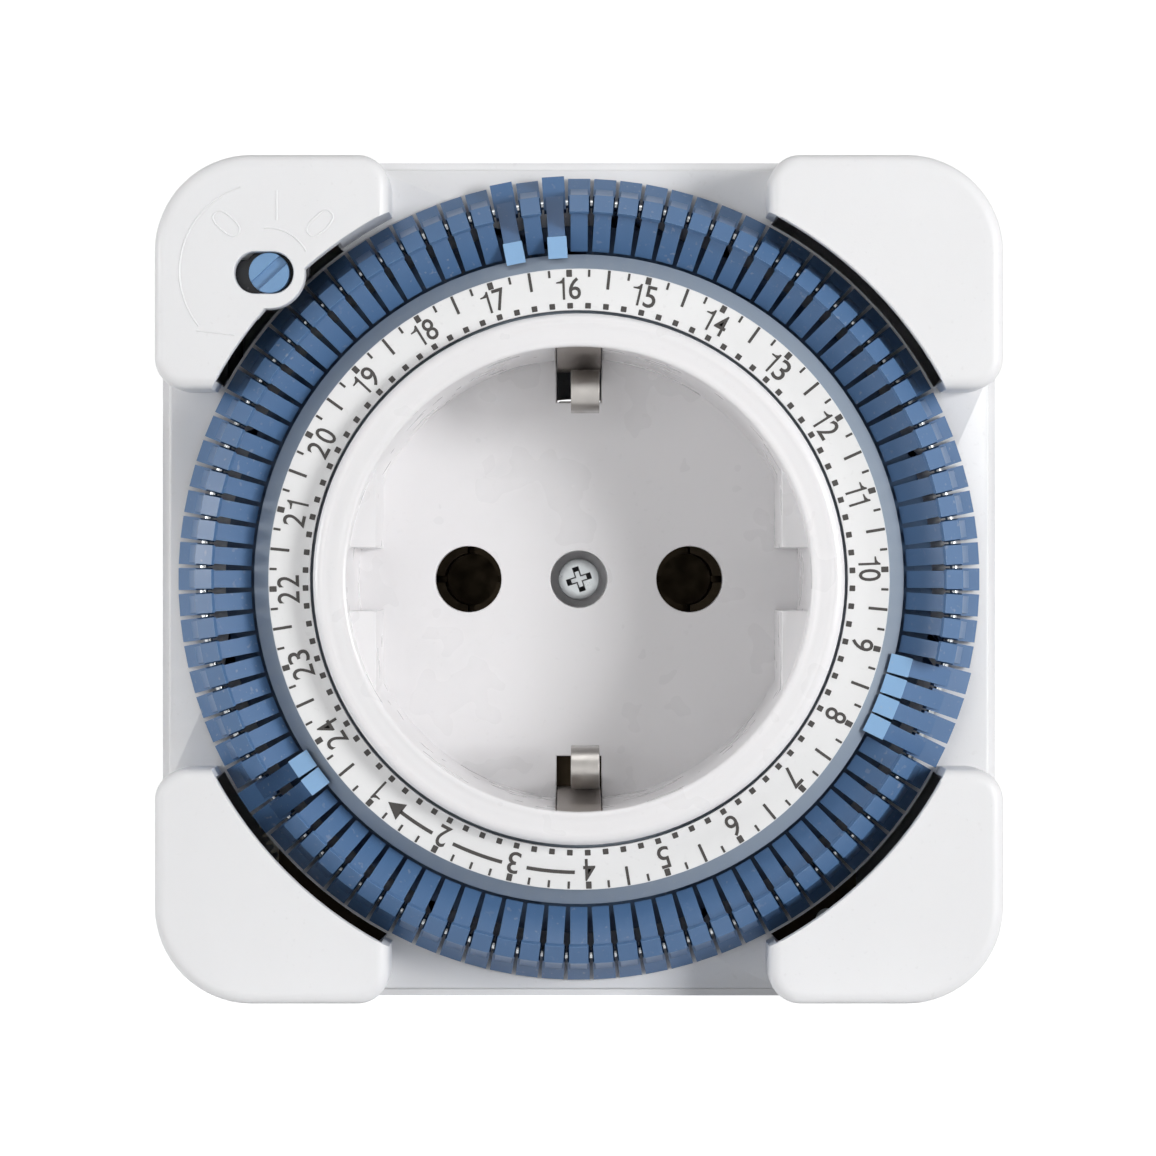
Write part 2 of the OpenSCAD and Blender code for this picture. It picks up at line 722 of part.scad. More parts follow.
module plug_earth_bow() {
    leg_y = plug_d / 2 - 2.3;
    bow_z = collar_z - 0.8;
    color("lightgray") stand() difference() {
        union() {
            block([-1.75, -leg_y, bow_z], [1.75, leg_y, bow_z + clip_t]);
            for (turn = [0, 180]) rotate(turn)
                block([-1.75, leg_y - clip_t, 2 - plug_h], [1.75, leg_y, bow_z + clip_t]);
            post(5, bow_z, bow_z + clip_t);
        }
        post(4, bow_z - 1, bow_z + 1);
    }
}

module earth_link() {
    color("lightgray") stand()
        block([-1.75, link_y, collar_z - 0.8 + clip_t], [1.75, link_y + clip_t, earth_z]);
}

module microswitch_case() {
    shell = 0.8;
    color("dimgray") stand() difference() {
        block(micro_at, micro_at + [micro_l, micro_w, micro_h]);
        block(micro_at + [shell, shell, shell], micro_at + [micro_l - shell, micro_w + 1, micro_h - shell]);
        block([micro_at[0] - 1, plunger_y - 0.1, plunger_z - 0.1],
            [micro_at[0] + 1, plunger_y + plunger_w + 0.1, plunger_z + plunger_w + 0.1]);
        block([feed_x - 0.02, micro_y - 1, feed_blade_z - 0.02],
            [feed_x + blade_w + 0.02, micro_y + 1, feed_blade_z + strip_t + 0.02]);
        block([out_x - 0.02, micro_y - 1, out_blade_z - 0.02],
            [out_x + blade_w + 0.02, micro_y + 1, out_blade_z + strip_t + 0.02]);
    }
}

module microswitch_cover() {
    color("dimgray") stand()
        block(micro_at + [0, micro_w, 0], micro_at + [micro_l, micro_w + 0.8, micro_h]);
}

module microswitch_plunger() {
    reach = 2.6;
    color("ivory") stand() {
        block([micro_at[0] - 0.7, plunger_y, plunger_z],
            [micro_at[0] + reach, plunger_y + plunger_w, plunger_z + plunger_w]);
        block([micro_at[0] + reach - 0.6, plunger_y - 0.6, plunger_z - 0.6],
            [micro_at[0] + reach, plunger_y + plunger_w + 0.6, plunger_z + plunger_w + 0.6]);
    }
}

module feed_terminal() {
    color("goldenrod") stand() {
        block([feed_x, micro_y - 4.5, feed_blade_z],
            [feed_x + blade_w, micro_y + 4, feed_blade_z + strip_t]);
        block([feed_x, micro_y + 2, feed_blade_z + strip_t],
            [feed_x + blade_w, micro_y + 4, feed_blade_z + 3.2]);
    }
}

module out_terminal() {
    color("goldenrod") stand() {
        block([out_x, micro_y - 4.5, out_blade_z],
            [out_x + blade_w, micro_y + 4, out_blade_z + strip_t]);
        translate([out_x + blade_w / 2, micro_y + 3, 0]) post(0.9, out_blade_z - 0.7, out_blade_z);
    }
}

module contact_leaf() {
    leaf_t = 0.25;
    color("goldenrod") stand() {
        block([out_x, micro_y + 2, feed_blade_z + 3.2],
            [feed_x + blade_w, micro_y + 4, feed_blade_z + 3.2 + leaf_t]);
        translate([out_x + blade_w / 2, micro_y + 3, 0])
            post(0.9, feed_blade_z + 3.2 + leaf_t, feed_blade_z + 3.2 + leaf_t + 0.6);
    }
}

module switch_slider() {
    leg = 1.2;
    plate_top = tower_z - wall - 0.3;
    color("dimgray") stand() difference() {
        union() {
            block([slider_x, slot_y - 2.7, plate_top - 1.3], [slot_x + 3.6, slot_y + 1.2, plate_top]);
            translate(knob_at) post(2.2, plate_top - 1.3, plate_top);
            block([slider_x, slot_y - 2.7, plunger_z], [slider_x + leg, slot_y, plate_top]);
            block([slider_x, plunger_y - 0.5, plunger_z],
                [slider_x + leg, slot_y, plunger_z + plunger_w]);
        }
        post(tower_r - 0.5, 0, rim_z, $fn = 180);
        translate(knob_at) post(knob_neck_r + run_gap, 0, rim_z);
    }
}

module override_knob() {
    groove_w = 0.9;
    plate_top = tower_z - wall - 0.3;
    color("steelblue") stand() translate(knob_at) difference() {
        union() {
            post(knob_d / 2, plate_top + 0.05, tower_z - 0.4);
            post(knob_neck_r, plate_top - 1.4, plate_top + 0.1);
            post(knob_neck_r + 0.5, plate_top - 2, plate_top - 1.35);
        }
        rotate(knob_angle) block([-knob_d, -groove_w / 2, tower_z - 0.9], [knob_d, groove_w / 2, tower_z]);
    }
}

plate_low = 2.6 - body_half;
pillar_spots = [[-23.5, plate_low + 1.9], [-12, plate_low + 1.5], [21.5, -13.5], [21.5, plate_low + 3]];

module at_pillars() {
    for (spot = pillar_spots) translate(spot) children();
}

// One gear plate with its arbor holes, from height z0.
module gear_plate(z0, drive_hole_r, rotor_hole_r) {
    color("goldenrod") stand() difference() {
        block([-26, plate_low, z0], [24, -12, z0 + plate_t]);
        translate(drive_at) post(drive_hole_r, z0 - 1, z0 + 2);
        for (at = [arbor_a_at, arbor_b_at]) translate(at) post(arbor_d / 2, z0 - 1, z0 + 2);
        if (rotor_hole_r > 0) translate(rotor_at) post(rotor_hole_r, z0 - 1, z0 + 2);
        at_pillars() post(pillar_neck_r, z0 - 1, z0 + 2);
    }
}

module lower_gear_plate() {
    gear_plate(plate_z, pivot_r + run_gap, 1.4);
}

module upper_gear_plate() {
    gear_plate(upper_plate_z, shaft_r + run_gap, 0);
}

module gear_pillars() {
    color("silver") stand() at_pillars() {
        post(1.6, wall, plate_z);
        post(pillar_neck_r, plate_z, plate_z + plate_t);
        post(1.6, plate_z + plate_t, upper_plate_z);
        post(pillar_neck_r, upper_plate_z, upper_plate_z + plate_t);
    }
}

module arbors() {
    color("silver") stand() {
        translate(arbor_a_at) {
            post(arbor_d / 2, plate_z, upper_plate_z + plate_t);
            post(0.9, plate_z + plate_t, train_z - 0.05);
            post(0.9, train_z + 4 * layer_h + 0.05, upper_plate_z);
        }
        translate(arbor_b_at) {
            post(arbor_d / 2, plate_z, upper_plate_z + plate_t);
            post(0.9, plate_z + plate_t, train_z + layer_h - 0.05);
        }
    }
}

// A toothed disc or pinion from height z0 to z1, one tooth at the given angle.
module gear(teeth, gear_module, angle, z0, z1) {
    slab(z0, z1) rotate(angle) gear_outline(teeth, gear_module);
}

// A wheel with the pinion above it, running on an arbor; layer counts from the motor.
module wheel_unit(at, layer, teeth, wheel_angle, pinion_angle) {
    low = train_z + layer * layer_h;
    color("ivory") stand() translate(at) difference() {
        union() {
            gear(teeth, train_m, wheel_angle, low + 0.3, low + 0.3 + wheel_t);
            gear(pinion_teeth, train_m, pinion_angle, low + 0.3, low + 2 * layer_h - 0.2);
            post(0.72, low + 0.02, low + 2 * layer_h - 0.08);
        }
        post(arbor_d / 2 + run_gap, low - 1, low + 2 * layer_h + 1);
        for (turn = [0 : 72 : 288]) rotate(turn) translate([teeth * train_m * 0.31, 0])
            post(teeth * train_m * 0.09, low, low + layer_h - 0.2);
    }
}

module first_wheel() {
    wheel_unit(arbor_a_at, 0, first_teeth, rotor_heading + 180 / first_teeth, arbor_heading + 180);
}

module second_wheel() {
    wheel_unit(arbor_b_at, 1, wheel_teeth, arbor_heading + 180 / wheel_teeth, arbor_heading);
}

module third_wheel() {
    wheel_unit(arbor_a_at, 2, wheel_teeth, arbor_heading + 180 + 180 / wheel_teeth, arbor_heading + 180);
}

module fourth_wheel() {
    wheel_unit(arbor_b_at, 3, wheel_teeth, arbor_heading + 180 / wheel_teeth, clutch_heading + 180);
}

module clutch_wheel() {
    low = train_z + 4 * layer_h;
    color("ivory") stand() translate(drive_at) difference() {
        union() {
            gear(clutch_teeth, train_m, clutch_heading + 180 / clutch_teeth,
                low + 0.3, low + 0.3 + wheel_t);
            post(2.6, low + 0.05, low + 0.3 + wheel_t);
        }
        post(shaft_r + run_gap, low - 1, low + layer_h);
    }
}

module clutch_spring() {
    low = train_z + 4 * layer_h + 0.3 + wheel_t + 0.02;
    color("silver") stand() translate(drive_at) difference() {
        union() {
            post(2, low, low + 0.25);
            for (turn = [0 : 120 : 240]) rotate(turn) block([0, -0.7, low], [6, 0.7, low + 0.25]);
        }
        post(shaft_r, low - 1, low + 1);
    }
}

module drive_pinion() {
    gear_low = dial_gear_z + 0.1;
    gear_high = dial_gear_z + dial_gear_t - 0.1;
    color("ivory") stand() translate(drive_at) {
        gear(drive_teeth, dial_m, drive_angle + 180 + 180 / drive_teeth, gear_low, gear_high);
        post(shaft_r, plate_z + plate_t + 0.05, gear_high);
        post(pivot_r, plate_z, plate_z + plate_t + 0.1);
        post(1.85, train_z + 4 * layer_h - 0.8, train_z + 4 * layer_h);
        post(1.85, upper_plate_z + plate_t + 0.1, gear_low);
    }
}

motor_claws = 8;

module motor_cup() {
    skin = 0.7;
    color("silver") stand() translate(rotor_at) difference() {
        union() {
            tube(motor_d / 2, motor_d / 2 - skin, motor_z, plate_z);
            post(motor_d / 2 - skin / 2, motor_z, motor_z + skin);
            for (i = [0 : motor_claws - 1]) rotate(i * 360 / motor_claws)
                block([rotor_d / 2 + 0.3, -0.6, motor_z], [rotor_d / 2 + 0.8, 0.6, plate_z - 1.5]);
        }
        post(arbor_d / 2, motor_z - 1, motor_z + 2);
        for (angle = lead_angles) rotate(angle)
            block([motor_d / 2 - 1.4, -1.8, lead_z - 0.9], [motor_d / 2 + 1, 1.8, lead_z + 0.9]);
    }
}

module motor_claw_plate() {
    skin = 0.7;
    color("silver") stand() translate(rotor_at) difference() {
        union() {
            post(motor_d / 2 - skin - 0.05, plate_z - skin, plate_z);
            for (i = [0 : motor_claws - 1]) rotate((i + 0.5) * 360 / motor_claws)
                block([rotor_d / 2 + 0.3, -0.6, motor_z + 1.5],
                    [rotor_d / 2 + 0.8, 0.6, plate_z - skin + 0.1]);
        }
        post(1.4, motor_z, plate_z + 1);
    }
}

module motor_bobbin() {
    color("ivory") stand() translate(rotor_at) difference() {
        union() {
            post(rotor_d / 2 + 1.5, bobbin_low, bobbin_high);
            post(motor_d / 2 - 0.9, bobbin_low, bobbin_low + 0.6);
            post(motor_d / 2 - 0.9, bobbin_high - 0.6, bobbin_high);
        }
        post(rotor_d / 2 + 0.95, bobbin_low - 1, bobbin_high + 1);
    }
}

module motor_coil() {
    color("peru") stand() translate(rotor_at)
        tube(motor_d / 2 - 1.5, rotor_d / 2 + 1.5, bobbin_low + 0.6, bobbin_high - 0.6);
}

module rotor_pin() {
    color("silver") stand() translate(rotor_at) post(arbor_d / 2, motor_z, train_z + layer_h);
}

module rotor() {
    color("dimgray") stand() translate(rotor_at) difference() {
        union() {
            post(rotor_d / 2, motor_z + 1.1, plate_z - 1.1);
            post(1, motor_z + 0.8, train_z);
            gear(pinion_teeth, train_m, rotor_heading + 180, train_z - 0.1, train_z + layer_h - 0.1);
        }
        post(arbor_d / 2 + run_gap, motor_z, train_z + layer_h + 1);
    }
}

// Square insulated lead through points that lie along x, y or z of each other.
module lead(points) {
    half = [0.5, 0.5, 0.5];
    for (i = [0 : len(points) - 2]) {
        from = points[i];
        to = points[i + 1];
        low = [for (n = [0 : 2]) min(from[n], to[n])];
        high = [for (n = [0 : 2]) max(from[n], to[n])];
        block(low - half, high + half);
    }
}

// Lead that leaves the coil, runs to cross_y, then to an end point on a strip.
module motor_lead(angle, cross_y, end) {
    start = rotor_at + polar(motor_d / 2 - 0.9, angle);
    lead([concat(start, lead_z), [start[0], cross_y, lead_z], [end[0], cross_y, lead_z],
        [end[0], end[1], lead_z], end]);
}

module motor_leads() {
    edge_y = 0.6 - strip_w / 2;
    color("firebrick") stand() {
        motor_lead(lead_angles[0], edge_y, [riser_x - 0.9, edge_y, contact_z + 0.5]);
        motor_lead(lead_angles[1], -8, [-riser_x - 1.5, edge_y, wall + strip_t + 0.5]);
    }
}

front_housing();
rear_housing();
socket_cup();
centre_screw();
housing_screws();
plug_pin(-1);  // line_pin
plug_pin(1);  // neutral_pin
socket_contact(-1);  // line_contact
socket_contact(1);  // neutral_contact
contact_carrier();
neutral_busbar();
line_feed_busbar();
line_out_busbar();
earth_bow();
plug_earth_bow();
earth_link();
microswitch_case();
microswitch_cover();
microswitch_plunger();
feed_terminal();
out_terminal();
contact_leaf();
switch_slider();
override_knob();
lower_gear_plate();
upper_gear_plate();
gear_pillars();
arbors();
first_wheel();
second_wheel();
third_wheel();
fourth_wheel();
clutch_wheel();
clutch_spring();
drive_pinion();
motor_cup();
motor_claw_plate();
motor_bobbin();
motor_coil();
motor_leads();
rotor_pin();
rotor();
dial_carrier();
number_ring();
hinge_wire();
standing_tabs();
for (k = hinged_tabs) color("steelblue") stand() tab(k);
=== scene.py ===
"""Dresses the plug-in day timer: rounded shells, printed dial, tabs, contacts and a stage."""

import json
import math

import bmesh
import bpy
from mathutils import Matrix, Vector

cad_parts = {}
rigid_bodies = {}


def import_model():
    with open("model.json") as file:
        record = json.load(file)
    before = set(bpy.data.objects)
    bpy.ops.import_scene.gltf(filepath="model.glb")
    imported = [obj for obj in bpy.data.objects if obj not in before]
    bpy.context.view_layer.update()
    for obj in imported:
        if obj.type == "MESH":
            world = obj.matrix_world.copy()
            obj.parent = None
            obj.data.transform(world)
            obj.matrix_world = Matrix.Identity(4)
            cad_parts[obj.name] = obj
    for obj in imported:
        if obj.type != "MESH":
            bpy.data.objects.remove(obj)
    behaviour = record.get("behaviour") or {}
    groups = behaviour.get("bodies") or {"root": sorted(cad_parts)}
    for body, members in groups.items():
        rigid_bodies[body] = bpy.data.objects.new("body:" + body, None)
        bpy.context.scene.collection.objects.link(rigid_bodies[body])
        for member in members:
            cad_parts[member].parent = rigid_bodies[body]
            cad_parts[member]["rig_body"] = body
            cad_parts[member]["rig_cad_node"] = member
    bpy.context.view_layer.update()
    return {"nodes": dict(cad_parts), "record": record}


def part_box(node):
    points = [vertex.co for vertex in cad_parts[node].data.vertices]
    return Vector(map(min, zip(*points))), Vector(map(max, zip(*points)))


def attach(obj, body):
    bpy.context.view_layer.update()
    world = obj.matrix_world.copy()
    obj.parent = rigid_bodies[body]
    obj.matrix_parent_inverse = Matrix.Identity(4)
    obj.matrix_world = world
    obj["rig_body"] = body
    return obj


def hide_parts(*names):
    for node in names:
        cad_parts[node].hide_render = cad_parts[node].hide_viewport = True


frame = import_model()

bl_info = {
    "name": "Plug-in day timer",
    "version": (1, 0, 0),
    "blender": (4, 5, 0),
    "location": "3D View > Sidebar > Day timer",
    "description": "Dresses the parts of a plug-in 24-hour timer switch",
    "category": "Object",
}

# Sizes are in metres. Seen from the front, x is to the right, z is up and y leads away.
MM = 0.001
LEVEL_SLACK = 0.01 * MM
RIM_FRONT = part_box("socket_cup")[0].y
TOWER_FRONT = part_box("front_housing")[0].y
PLATE_FRONT = RIM_FRONT + 8.8 * MM
RING_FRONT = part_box("number_ring")[0].y
SLOT_AT = Vector((-26.0 * MM, 0, 25.3 * MM))
KNOB_AT = (-25.67 * MM, 25.43 * MM)

# Headings are in degrees, anticlockwise from the right as seen from the front.
HOUR_16_HEADING = 91.84
HOUR_STEP = 15.0
QUARTER_STEP = HOUR_STEP / 4

BODIES = frame["record"]["behaviour"]["bodies"]
BODY_OF = {node: body for body, nodes in BODIES.items() for node in nodes}
SLOT_OF = {part["node"]: part["material_slot"] for part in frame["record"]["subparts"]}
TAB_NODES = sorted(node for node in BODY_OF if node.startswith("tab_"))
TRAIN_NODES = (
    "first_wheel", "second_wheel", "third_wheel", "fourth_wheel", "clutch_wheel", "drive_pinion"
)


# ---------------------------------------------------------------- settings a user may change


def length(name, description, default):
    """A length property in metres."""
    return bpy.props.FloatProperty(
        name=name, description=description, default=default,
        min=0.0, precision=5, subtype="DISTANCE", unit="LENGTH",
    )


def shade(name, description, default):
    """A colour property, written as linear red, green and blue."""
    return bpy.props.FloatVectorProperty(
        name=name, description=description, default=default,
        min=0.0, max=1.0, size=3, subtype="COLOR",
    )


def factor(name, description, default):
    """A plain factor from 0 to 1."""
    return bpy.props.FloatProperty(
        name=name, description=description, default=default, min=0.0, max=1.0
    )


def watts(name, description, default):
    """A lamp's power in watts."""
    return bpy.props.FloatProperty(name=name, description=description, default=default, min=0.0)


class TimerShape(bpy.types.PropertyGroup):
    """Roundings and relief heights of the dressed pieces"""

    tower_edge: length("Tower edge", "Rounding of the corner towers' front edges", 1.1 * MM)
    arc_edge: length("Arc edge", "Rounding of the towers' edges along the dial", 0.18 * MM)
    housing_edge: length("Housing edge", "Rounding of the housing's other outer edges", 0.3 * MM)
    rim_edge: length("Rim edge", "Rounding of the socket rim's outer edge", 0.75 * MM)
    tab_edge: length("Tab edge", "Rounding of the tabs' edges", 0.15 * MM)
    metal_edge: length("Metal edge", "Rounding of pins, strips and screws", 0.12 * MM)
    print_height: length("Print height", "Thickness of the dial's printed marks", 0.025 * MM)
    bead_width: length("Bead width", "Width of the raised lines on the corner tower", 0.16 * MM)
    digit_height: length("Digit height", "Height of the hour numbers", 1.83 * MM)


class TimerColours(bpy.types.PropertyGroup):
    """Base colours of the timer's finishes"""

    housing: shade("Housing", "White moulding of the front housing", (0.85, 0.85, 0.86))
    rear: shade("Rear housing", "White moulding of the rear housing", (0.83, 0.83, 0.84))
    cup: shade("Socket cup", "Glossy white of the socket", (0.87, 0.86, 0.87))
    tabs: shade("Tabs", "Blue of the tabs", (0.076, 0.162, 0.32))
    # Painted light: a paler copy of the tabs' blue for their front-facing cap faces, so that these
    # look lit against the darker slopes.
    caps: shade("Tab caps", "Paler blue of the tabs' worn front faces", (0.27, 0.47, 0.73))
    knob: shade("Knob", "Blue of the override knob", (0.17, 0.32, 0.54))
    carrier: shade("Dial carrier", "Blue of the moulding under the tabs", (0.13, 0.22, 0.38))
    # Painted sheen: a paler, greyer copy of the carrier's blue for its cone faces, standing in for
    # the gloss that lightens them.
    cone: shade("Dial cone", "Grey blue of the slope inside the tabs", (0.33, 0.385, 0.455))
    ring: shade("Number ring", "White of the number ring", (0.86, 0.86, 0.86))
    ink: shade("Ink", "Dark grey of the printed marks", (0.05, 0.045, 0.042))
    nickel: shade("Nickel", "Plated contacts and pins", (0.44, 0.42, 0.40))
    brass: shade("Brass", "Terminals of the microswitch", (0.80, 0.58, 0.26))
    # Partly tarnish, mostly painted shade: brass darkened far below real tarnish so that plates
    # and contacts seen through slots and holes look shaded.
    tarnish: shade("Tarnish", "Dull brass of plates and contacts inside", (0.05, 0.038, 0.025))
    zinc: shade("Zinc", "Plated screws and steel parts", (0.66, 0.69, 0.70))
    # Painted shade: a matt grey-brown on the uprights behind the earth clips, standing in for the
    # shade on the wall there.
    dull: shade("Dull steel", "Unplated steel of the earth uprights", (0.30, 0.27, 0.25))
    ivory: shade("Ivory", "Natural plastic of the wheels", (0.80, 0.76, 0.65))
    black: shade("Black", "Black plastic inside", (0.03, 0.03, 0.033))
    copper: shade("Copper", "Enamelled winding", (0.60, 0.22, 0.08))
    lead: shade("Lead", "Red insulation of the coil's leads", (0.45, 0.04, 0.03))
    ferrite: shade("Ferrite", "Sintered magnet of the rotor", (0.06, 0.055, 0.055))
    floor: shade("Floor", "Pale floor and backdrop", (0.80, 0.80, 0.80))


class TimerStage(bpy.types.PropertyGroup):
    """Camera and lamps"""

    distance: length("Camera distance", "From the camera to the socket's rim", 400 * MM)
    lens: bpy.props.FloatProperty(
        name="Lens", description="Focal length in millimetres", default=151.2
    )
    key_power: watts("Key power", "Power of the lamp on the right", 2.1)
    front_power: watts("Front power", "Power of the lamp beside the camera", 0.7)
    low_power: watts("Low power", "Power of the low lamp on the right", 0.6)
    left_power: watts("Left power", "Power of the low lamp on the left", 2.2)
    top_power: watts("Top power", "Power of the lamp above", 0.65)
    sky: factor("Sky", "Strength of the even light from all round", 0.13)


def settings():
    """The scene's three groups of settings."""
    scene = bpy.context.scene
    return scene.timer_shape, scene.timer_colours, scene.timer_stage


# ---------------------------------------------------------------- shader groups and materials


PLASTIC_BUMP = 0.004 * MM
METAL_BUMP = 0.003 * MM


def new_group(name, colour, numbers):
    """A surface group's tree with its two end nodes; its inputs are a colour and numbers."""
    tree = bpy.data.node_groups.new(name, "ShaderNodeTree")
    tint, number = "NodeSocketColor", "NodeSocketFloat"
    tree.interface.new_socket("Colour", in_out="INPUT", socket_type=tint).default_value = colour
    for label, value in numbers.items():
        tree.interface.new_socket(label, in_out="INPUT", socket_type=number).default_value = value
    for label, kind in (("Colour", tint), ("Roughness", number), ("Height", number)):
        tree.interface.new_socket(label, in_out="OUTPUT", socket_type=kind)
    return tree, tree.nodes.new("NodeGroupInput"), tree.nodes.new("NodeGroupOutput")


def join(tree, source, output, target, socket):
    """A link between two named or numbered sockets."""
    tree.links.new(source.outputs[output], target.inputs[socket])


def scaled_noise(tree, scale, detail=3.0, stretch=(1.0, 1.0, 1.0)):
    """Noise on object coordinates, in cycles per metre, stretched along the axes."""
    place = tree.nodes.new("ShaderNodeTexCoord")
    mapping = tree.nodes.new("ShaderNodeMapping")
    mapping.inputs["Scale"].default_value = stretch
    noise = tree.nodes.new("ShaderNodeTexNoise")
    noise.inputs["Scale"].default_value = scale
    noise.inputs["Detail"].default_value = detail
    join(tree, place, "Object", mapping, "Vector")
    join(tree, mapping, "Vector", noise, "Vector")
    return noise


def span(tree, source, output, low, high, to_low, to_high):
    """Maps a value range onto another one, clamped."""
    node = tree.nodes.new("ShaderNodeMapRange")
    limits = {"From Min": low, "From Max": high, "To Min": to_low, "To Max": to_high}
    for socket, value in limits.items():
        node.inputs[socket].default_value = value
    join(tree, source, output, node, "Value")
    return node


def reckon(tree, operation, first, second):
    """A Math node on two (node, output) pairs."""
    node = tree.nodes.new("ShaderNodeMath")
    node.operation = operation
    join(tree, *first, node, 0)
    join(tree, *second, node, 1)
    return node


def toned(tree, given, tone):
    """The given colour scaled by a tone."""
    node = tree.nodes.new("ShaderNodeVectorMath")
    node.operation = "SCALE"
    join(tree, given, "Colour", node, 0)
    join(tree, tone, "Result", node, "Scale")
    return node


def moulded_surface_group():
    """Moulded plastic: soft flow marks, fine specks of dust, uneven gloss and a fine grain."""
    tree, given, result = new_group(
        "moulded_surface", (0.8, 0.8, 0.8, 1), {"Roughness": 0.4, "Grain": 1.0, "Dust": 0.2}
    )
    flow = scaled_noise(tree, 60.0, 4.0, (1.0, 1.0, 0.5))
    base = toned(tree, given, span(tree, flow, "Fac", 0.3, 0.7, 0.975, 1.015))
    speck = scaled_noise(tree, 2100.0, 1.0)
    spread = scaled_noise(tree, 130.0, 2.0)
    patchy = reckon(
        tree, "MULTIPLY",
        (span(tree, speck, "Fac", 0.66, 0.74, 0.0, 1.0), "Result"),
        (span(tree, spread, "Fac", 0.45, 0.65, 0.2, 1.0), "Result"),
    )
    dust = reckon(tree, "MULTIPLY", (patchy, 0), (given, "Dust"))
    dusty = tree.nodes.new("ShaderNodeMix")
    dusty.data_type = "RGBA"
    # A Mix node's colours are its sockets 6 and 7, and its mixed colour is output 2.
    clean, dust_colour, mixed = 6, 7, 2
    dusty.inputs[dust_colour].default_value = (0.52, 0.51, 0.50, 1.0)
    join(tree, dust, 0, dusty, 0)
    join(tree, base, 0, dusty, clean)
    join(tree, dusty, mixed, result, "Colour")
    smear = scaled_noise(tree, 240.0, 2.0)
    patch = span(tree, smear, "Fac", 0.3, 0.7, -0.05, 0.06)
    uneven = reckon(tree, "ADD", (given, "Roughness"), (patch, "Result"))
    join(tree, uneven, 0, result, "Roughness")
    grain = scaled_noise(tree, 5200.0, 2.0)
    height = reckon(tree, "MULTIPLY", (grain, "Fac"), (given, "Grain"))
    join(tree, height, 0, result, "Height")


def metal_surface_group():
    """Plated or stamped metal: drawn streaks, clouding and an uneven sheen."""
    tree, given, result = new_group(
        "metal_surface", (0.7, 0.7, 0.7, 1), {"Roughness": 0.25, "Streak": 1.0}
    )
    cloud = scaled_noise(tree, 420.0, 3.0)
    base = toned(tree, given, span(tree, cloud, "Fac", 0.3, 0.7, 0.84, 1.06))
    join(tree, base, 0, result, "Colour")
    streaks = scaled_noise(tree, 900.0, 3.0, (1.0, 0.06, 1.0))
    uneven = span(tree, streaks, "Fac", 0.3, 0.7, -0.07, 0.1)
    rough = reckon(tree, "ADD", (given, "Roughness"), (uneven, "Result"))
    join(tree, rough, 0, result, "Roughness")
    height = reckon(tree, "MULTIPLY", (streaks, "Fac"), (given, "Streak"))
    join(tree, height, 0, result, "Height")


def dressed_material(name, group, colour, inputs, bump, shader_values):
    """Builds a material, or rebuilds the frame's, from a surface group, a shader and a bump."""
    material = bpy.data.materials.get(name) or bpy.data.materials.new(name)
    material.use_nodes = True
    tree = material.node_tree
    tree.nodes.clear()
    shader = tree.nodes.new("ShaderNodeBsdfPrincipled")
    join(tree, shader, 0, tree.nodes.new("ShaderNodeOutputMaterial"), 0)
    for socket, value in shader_values.items():
        shader.inputs[socket].default_value = value
    surface = tree.nodes.new("ShaderNodeGroup")
    surface.node_tree = bpy.data.node_groups[group]
    surface.inputs["Colour"].default_value = (*colour, 1.0)
    for socket, value in inputs.items():
        surface.inputs[socket].default_value = value
    relief = tree.nodes.new("ShaderNodeBump")
    relief.inputs["Distance"].default_value = bump
    join(tree, surface, "Colour", shader, "Base Color")
    join(tree, surface, "Roughness", shader, "Roughness")
    join(tree, surface, "Height", relief, "Height")
    join(tree, relief, "Normal", shader, "Normal")
    material.diffuse_color = (*colour, 1.0)


def plastic(name, colour, roughness, grain=1.0, dust=0.25, coat=0.0, soft=0.0):
    """A moulded plastic finish."""
    values = {"IOR": 1.5, "Coat Weight": coat, "Coat Roughness": 0.12}
    if soft > 0:
        values["Subsurface Weight"] = soft
        values["Subsurface Radius"] = (1.0, 0.8, 0.7)
        values["Subsurface Scale"] = 0.6 * MM
    inputs = {"Roughness": roughness, "Grain": grain, "Dust": dust}
    dressed_material(name, "moulded_surface", colour, inputs, PLASTIC_BUMP, values)


def metal(name, colour, roughness, streak=1.0):
    """A metal finish."""
    inputs = {"Roughness": roughness, "Streak": streak}
    dressed_material(name, "metal_surface", colour, inputs, METAL_BUMP, {"Metallic": 1.0})


def finish(piece, material):
    """Gives the piece one material."""
    piece.data.materials.clear()
    piece.data.materials.append(bpy.data.materials[material])


# ---------------------------------------------------------------- modelling helpers


FLAT_ANGLE = math.radians(0.6)
SHARP_ANGLE = math.radians(28.0)
DIGIT_WEIGHT = 0.007

# Roundings of wheels and plates, of small mouldings, of what a finger moves, and of large shells.
WHEEL_EDGE = 0.06 * MM
SMALL_EDGE = 0.08 * MM
HANDLED_EDGE = 0.1 * MM
SHELL_EDGE = 0.2 * MM


def only(*pieces):
    """Selects just these pieces; the first becomes the active one."""
    bpy.ops.object.select_all(action="DESELECT")
    for piece in pieces:
        piece.select_set(True)
    bpy.context.view_layer.objects.active = pieces[0]


def named(name):
    """The active object, once it and its mesh have a name."""
    piece = bpy.context.object
    piece.name = piece.data.name = name
    return piece


def fix_place():
    """Applies the place, turn and scale of what is selected."""
    bpy.ops.object.transform_apply(location=True, rotation=True, scale=True)


def edit_picked(piece, kind, test):
    """Opens a piece for editing with just the edges or the faces selected that pass a test."""
    only(piece)
    bpy.ops.object.mode_set(mode="EDIT")
    bpy.ops.mesh.select_mode(type=kind)
    bpy.ops.mesh.select_all(action="DESELECT")
    mesh = bmesh.from_edit_mesh(piece.data)
    for element in mesh.edges if kind == "EDGE" else mesh.faces:
        if test(element):
            element.select_set(True)
    bmesh.update_edit_mesh(piece.data)


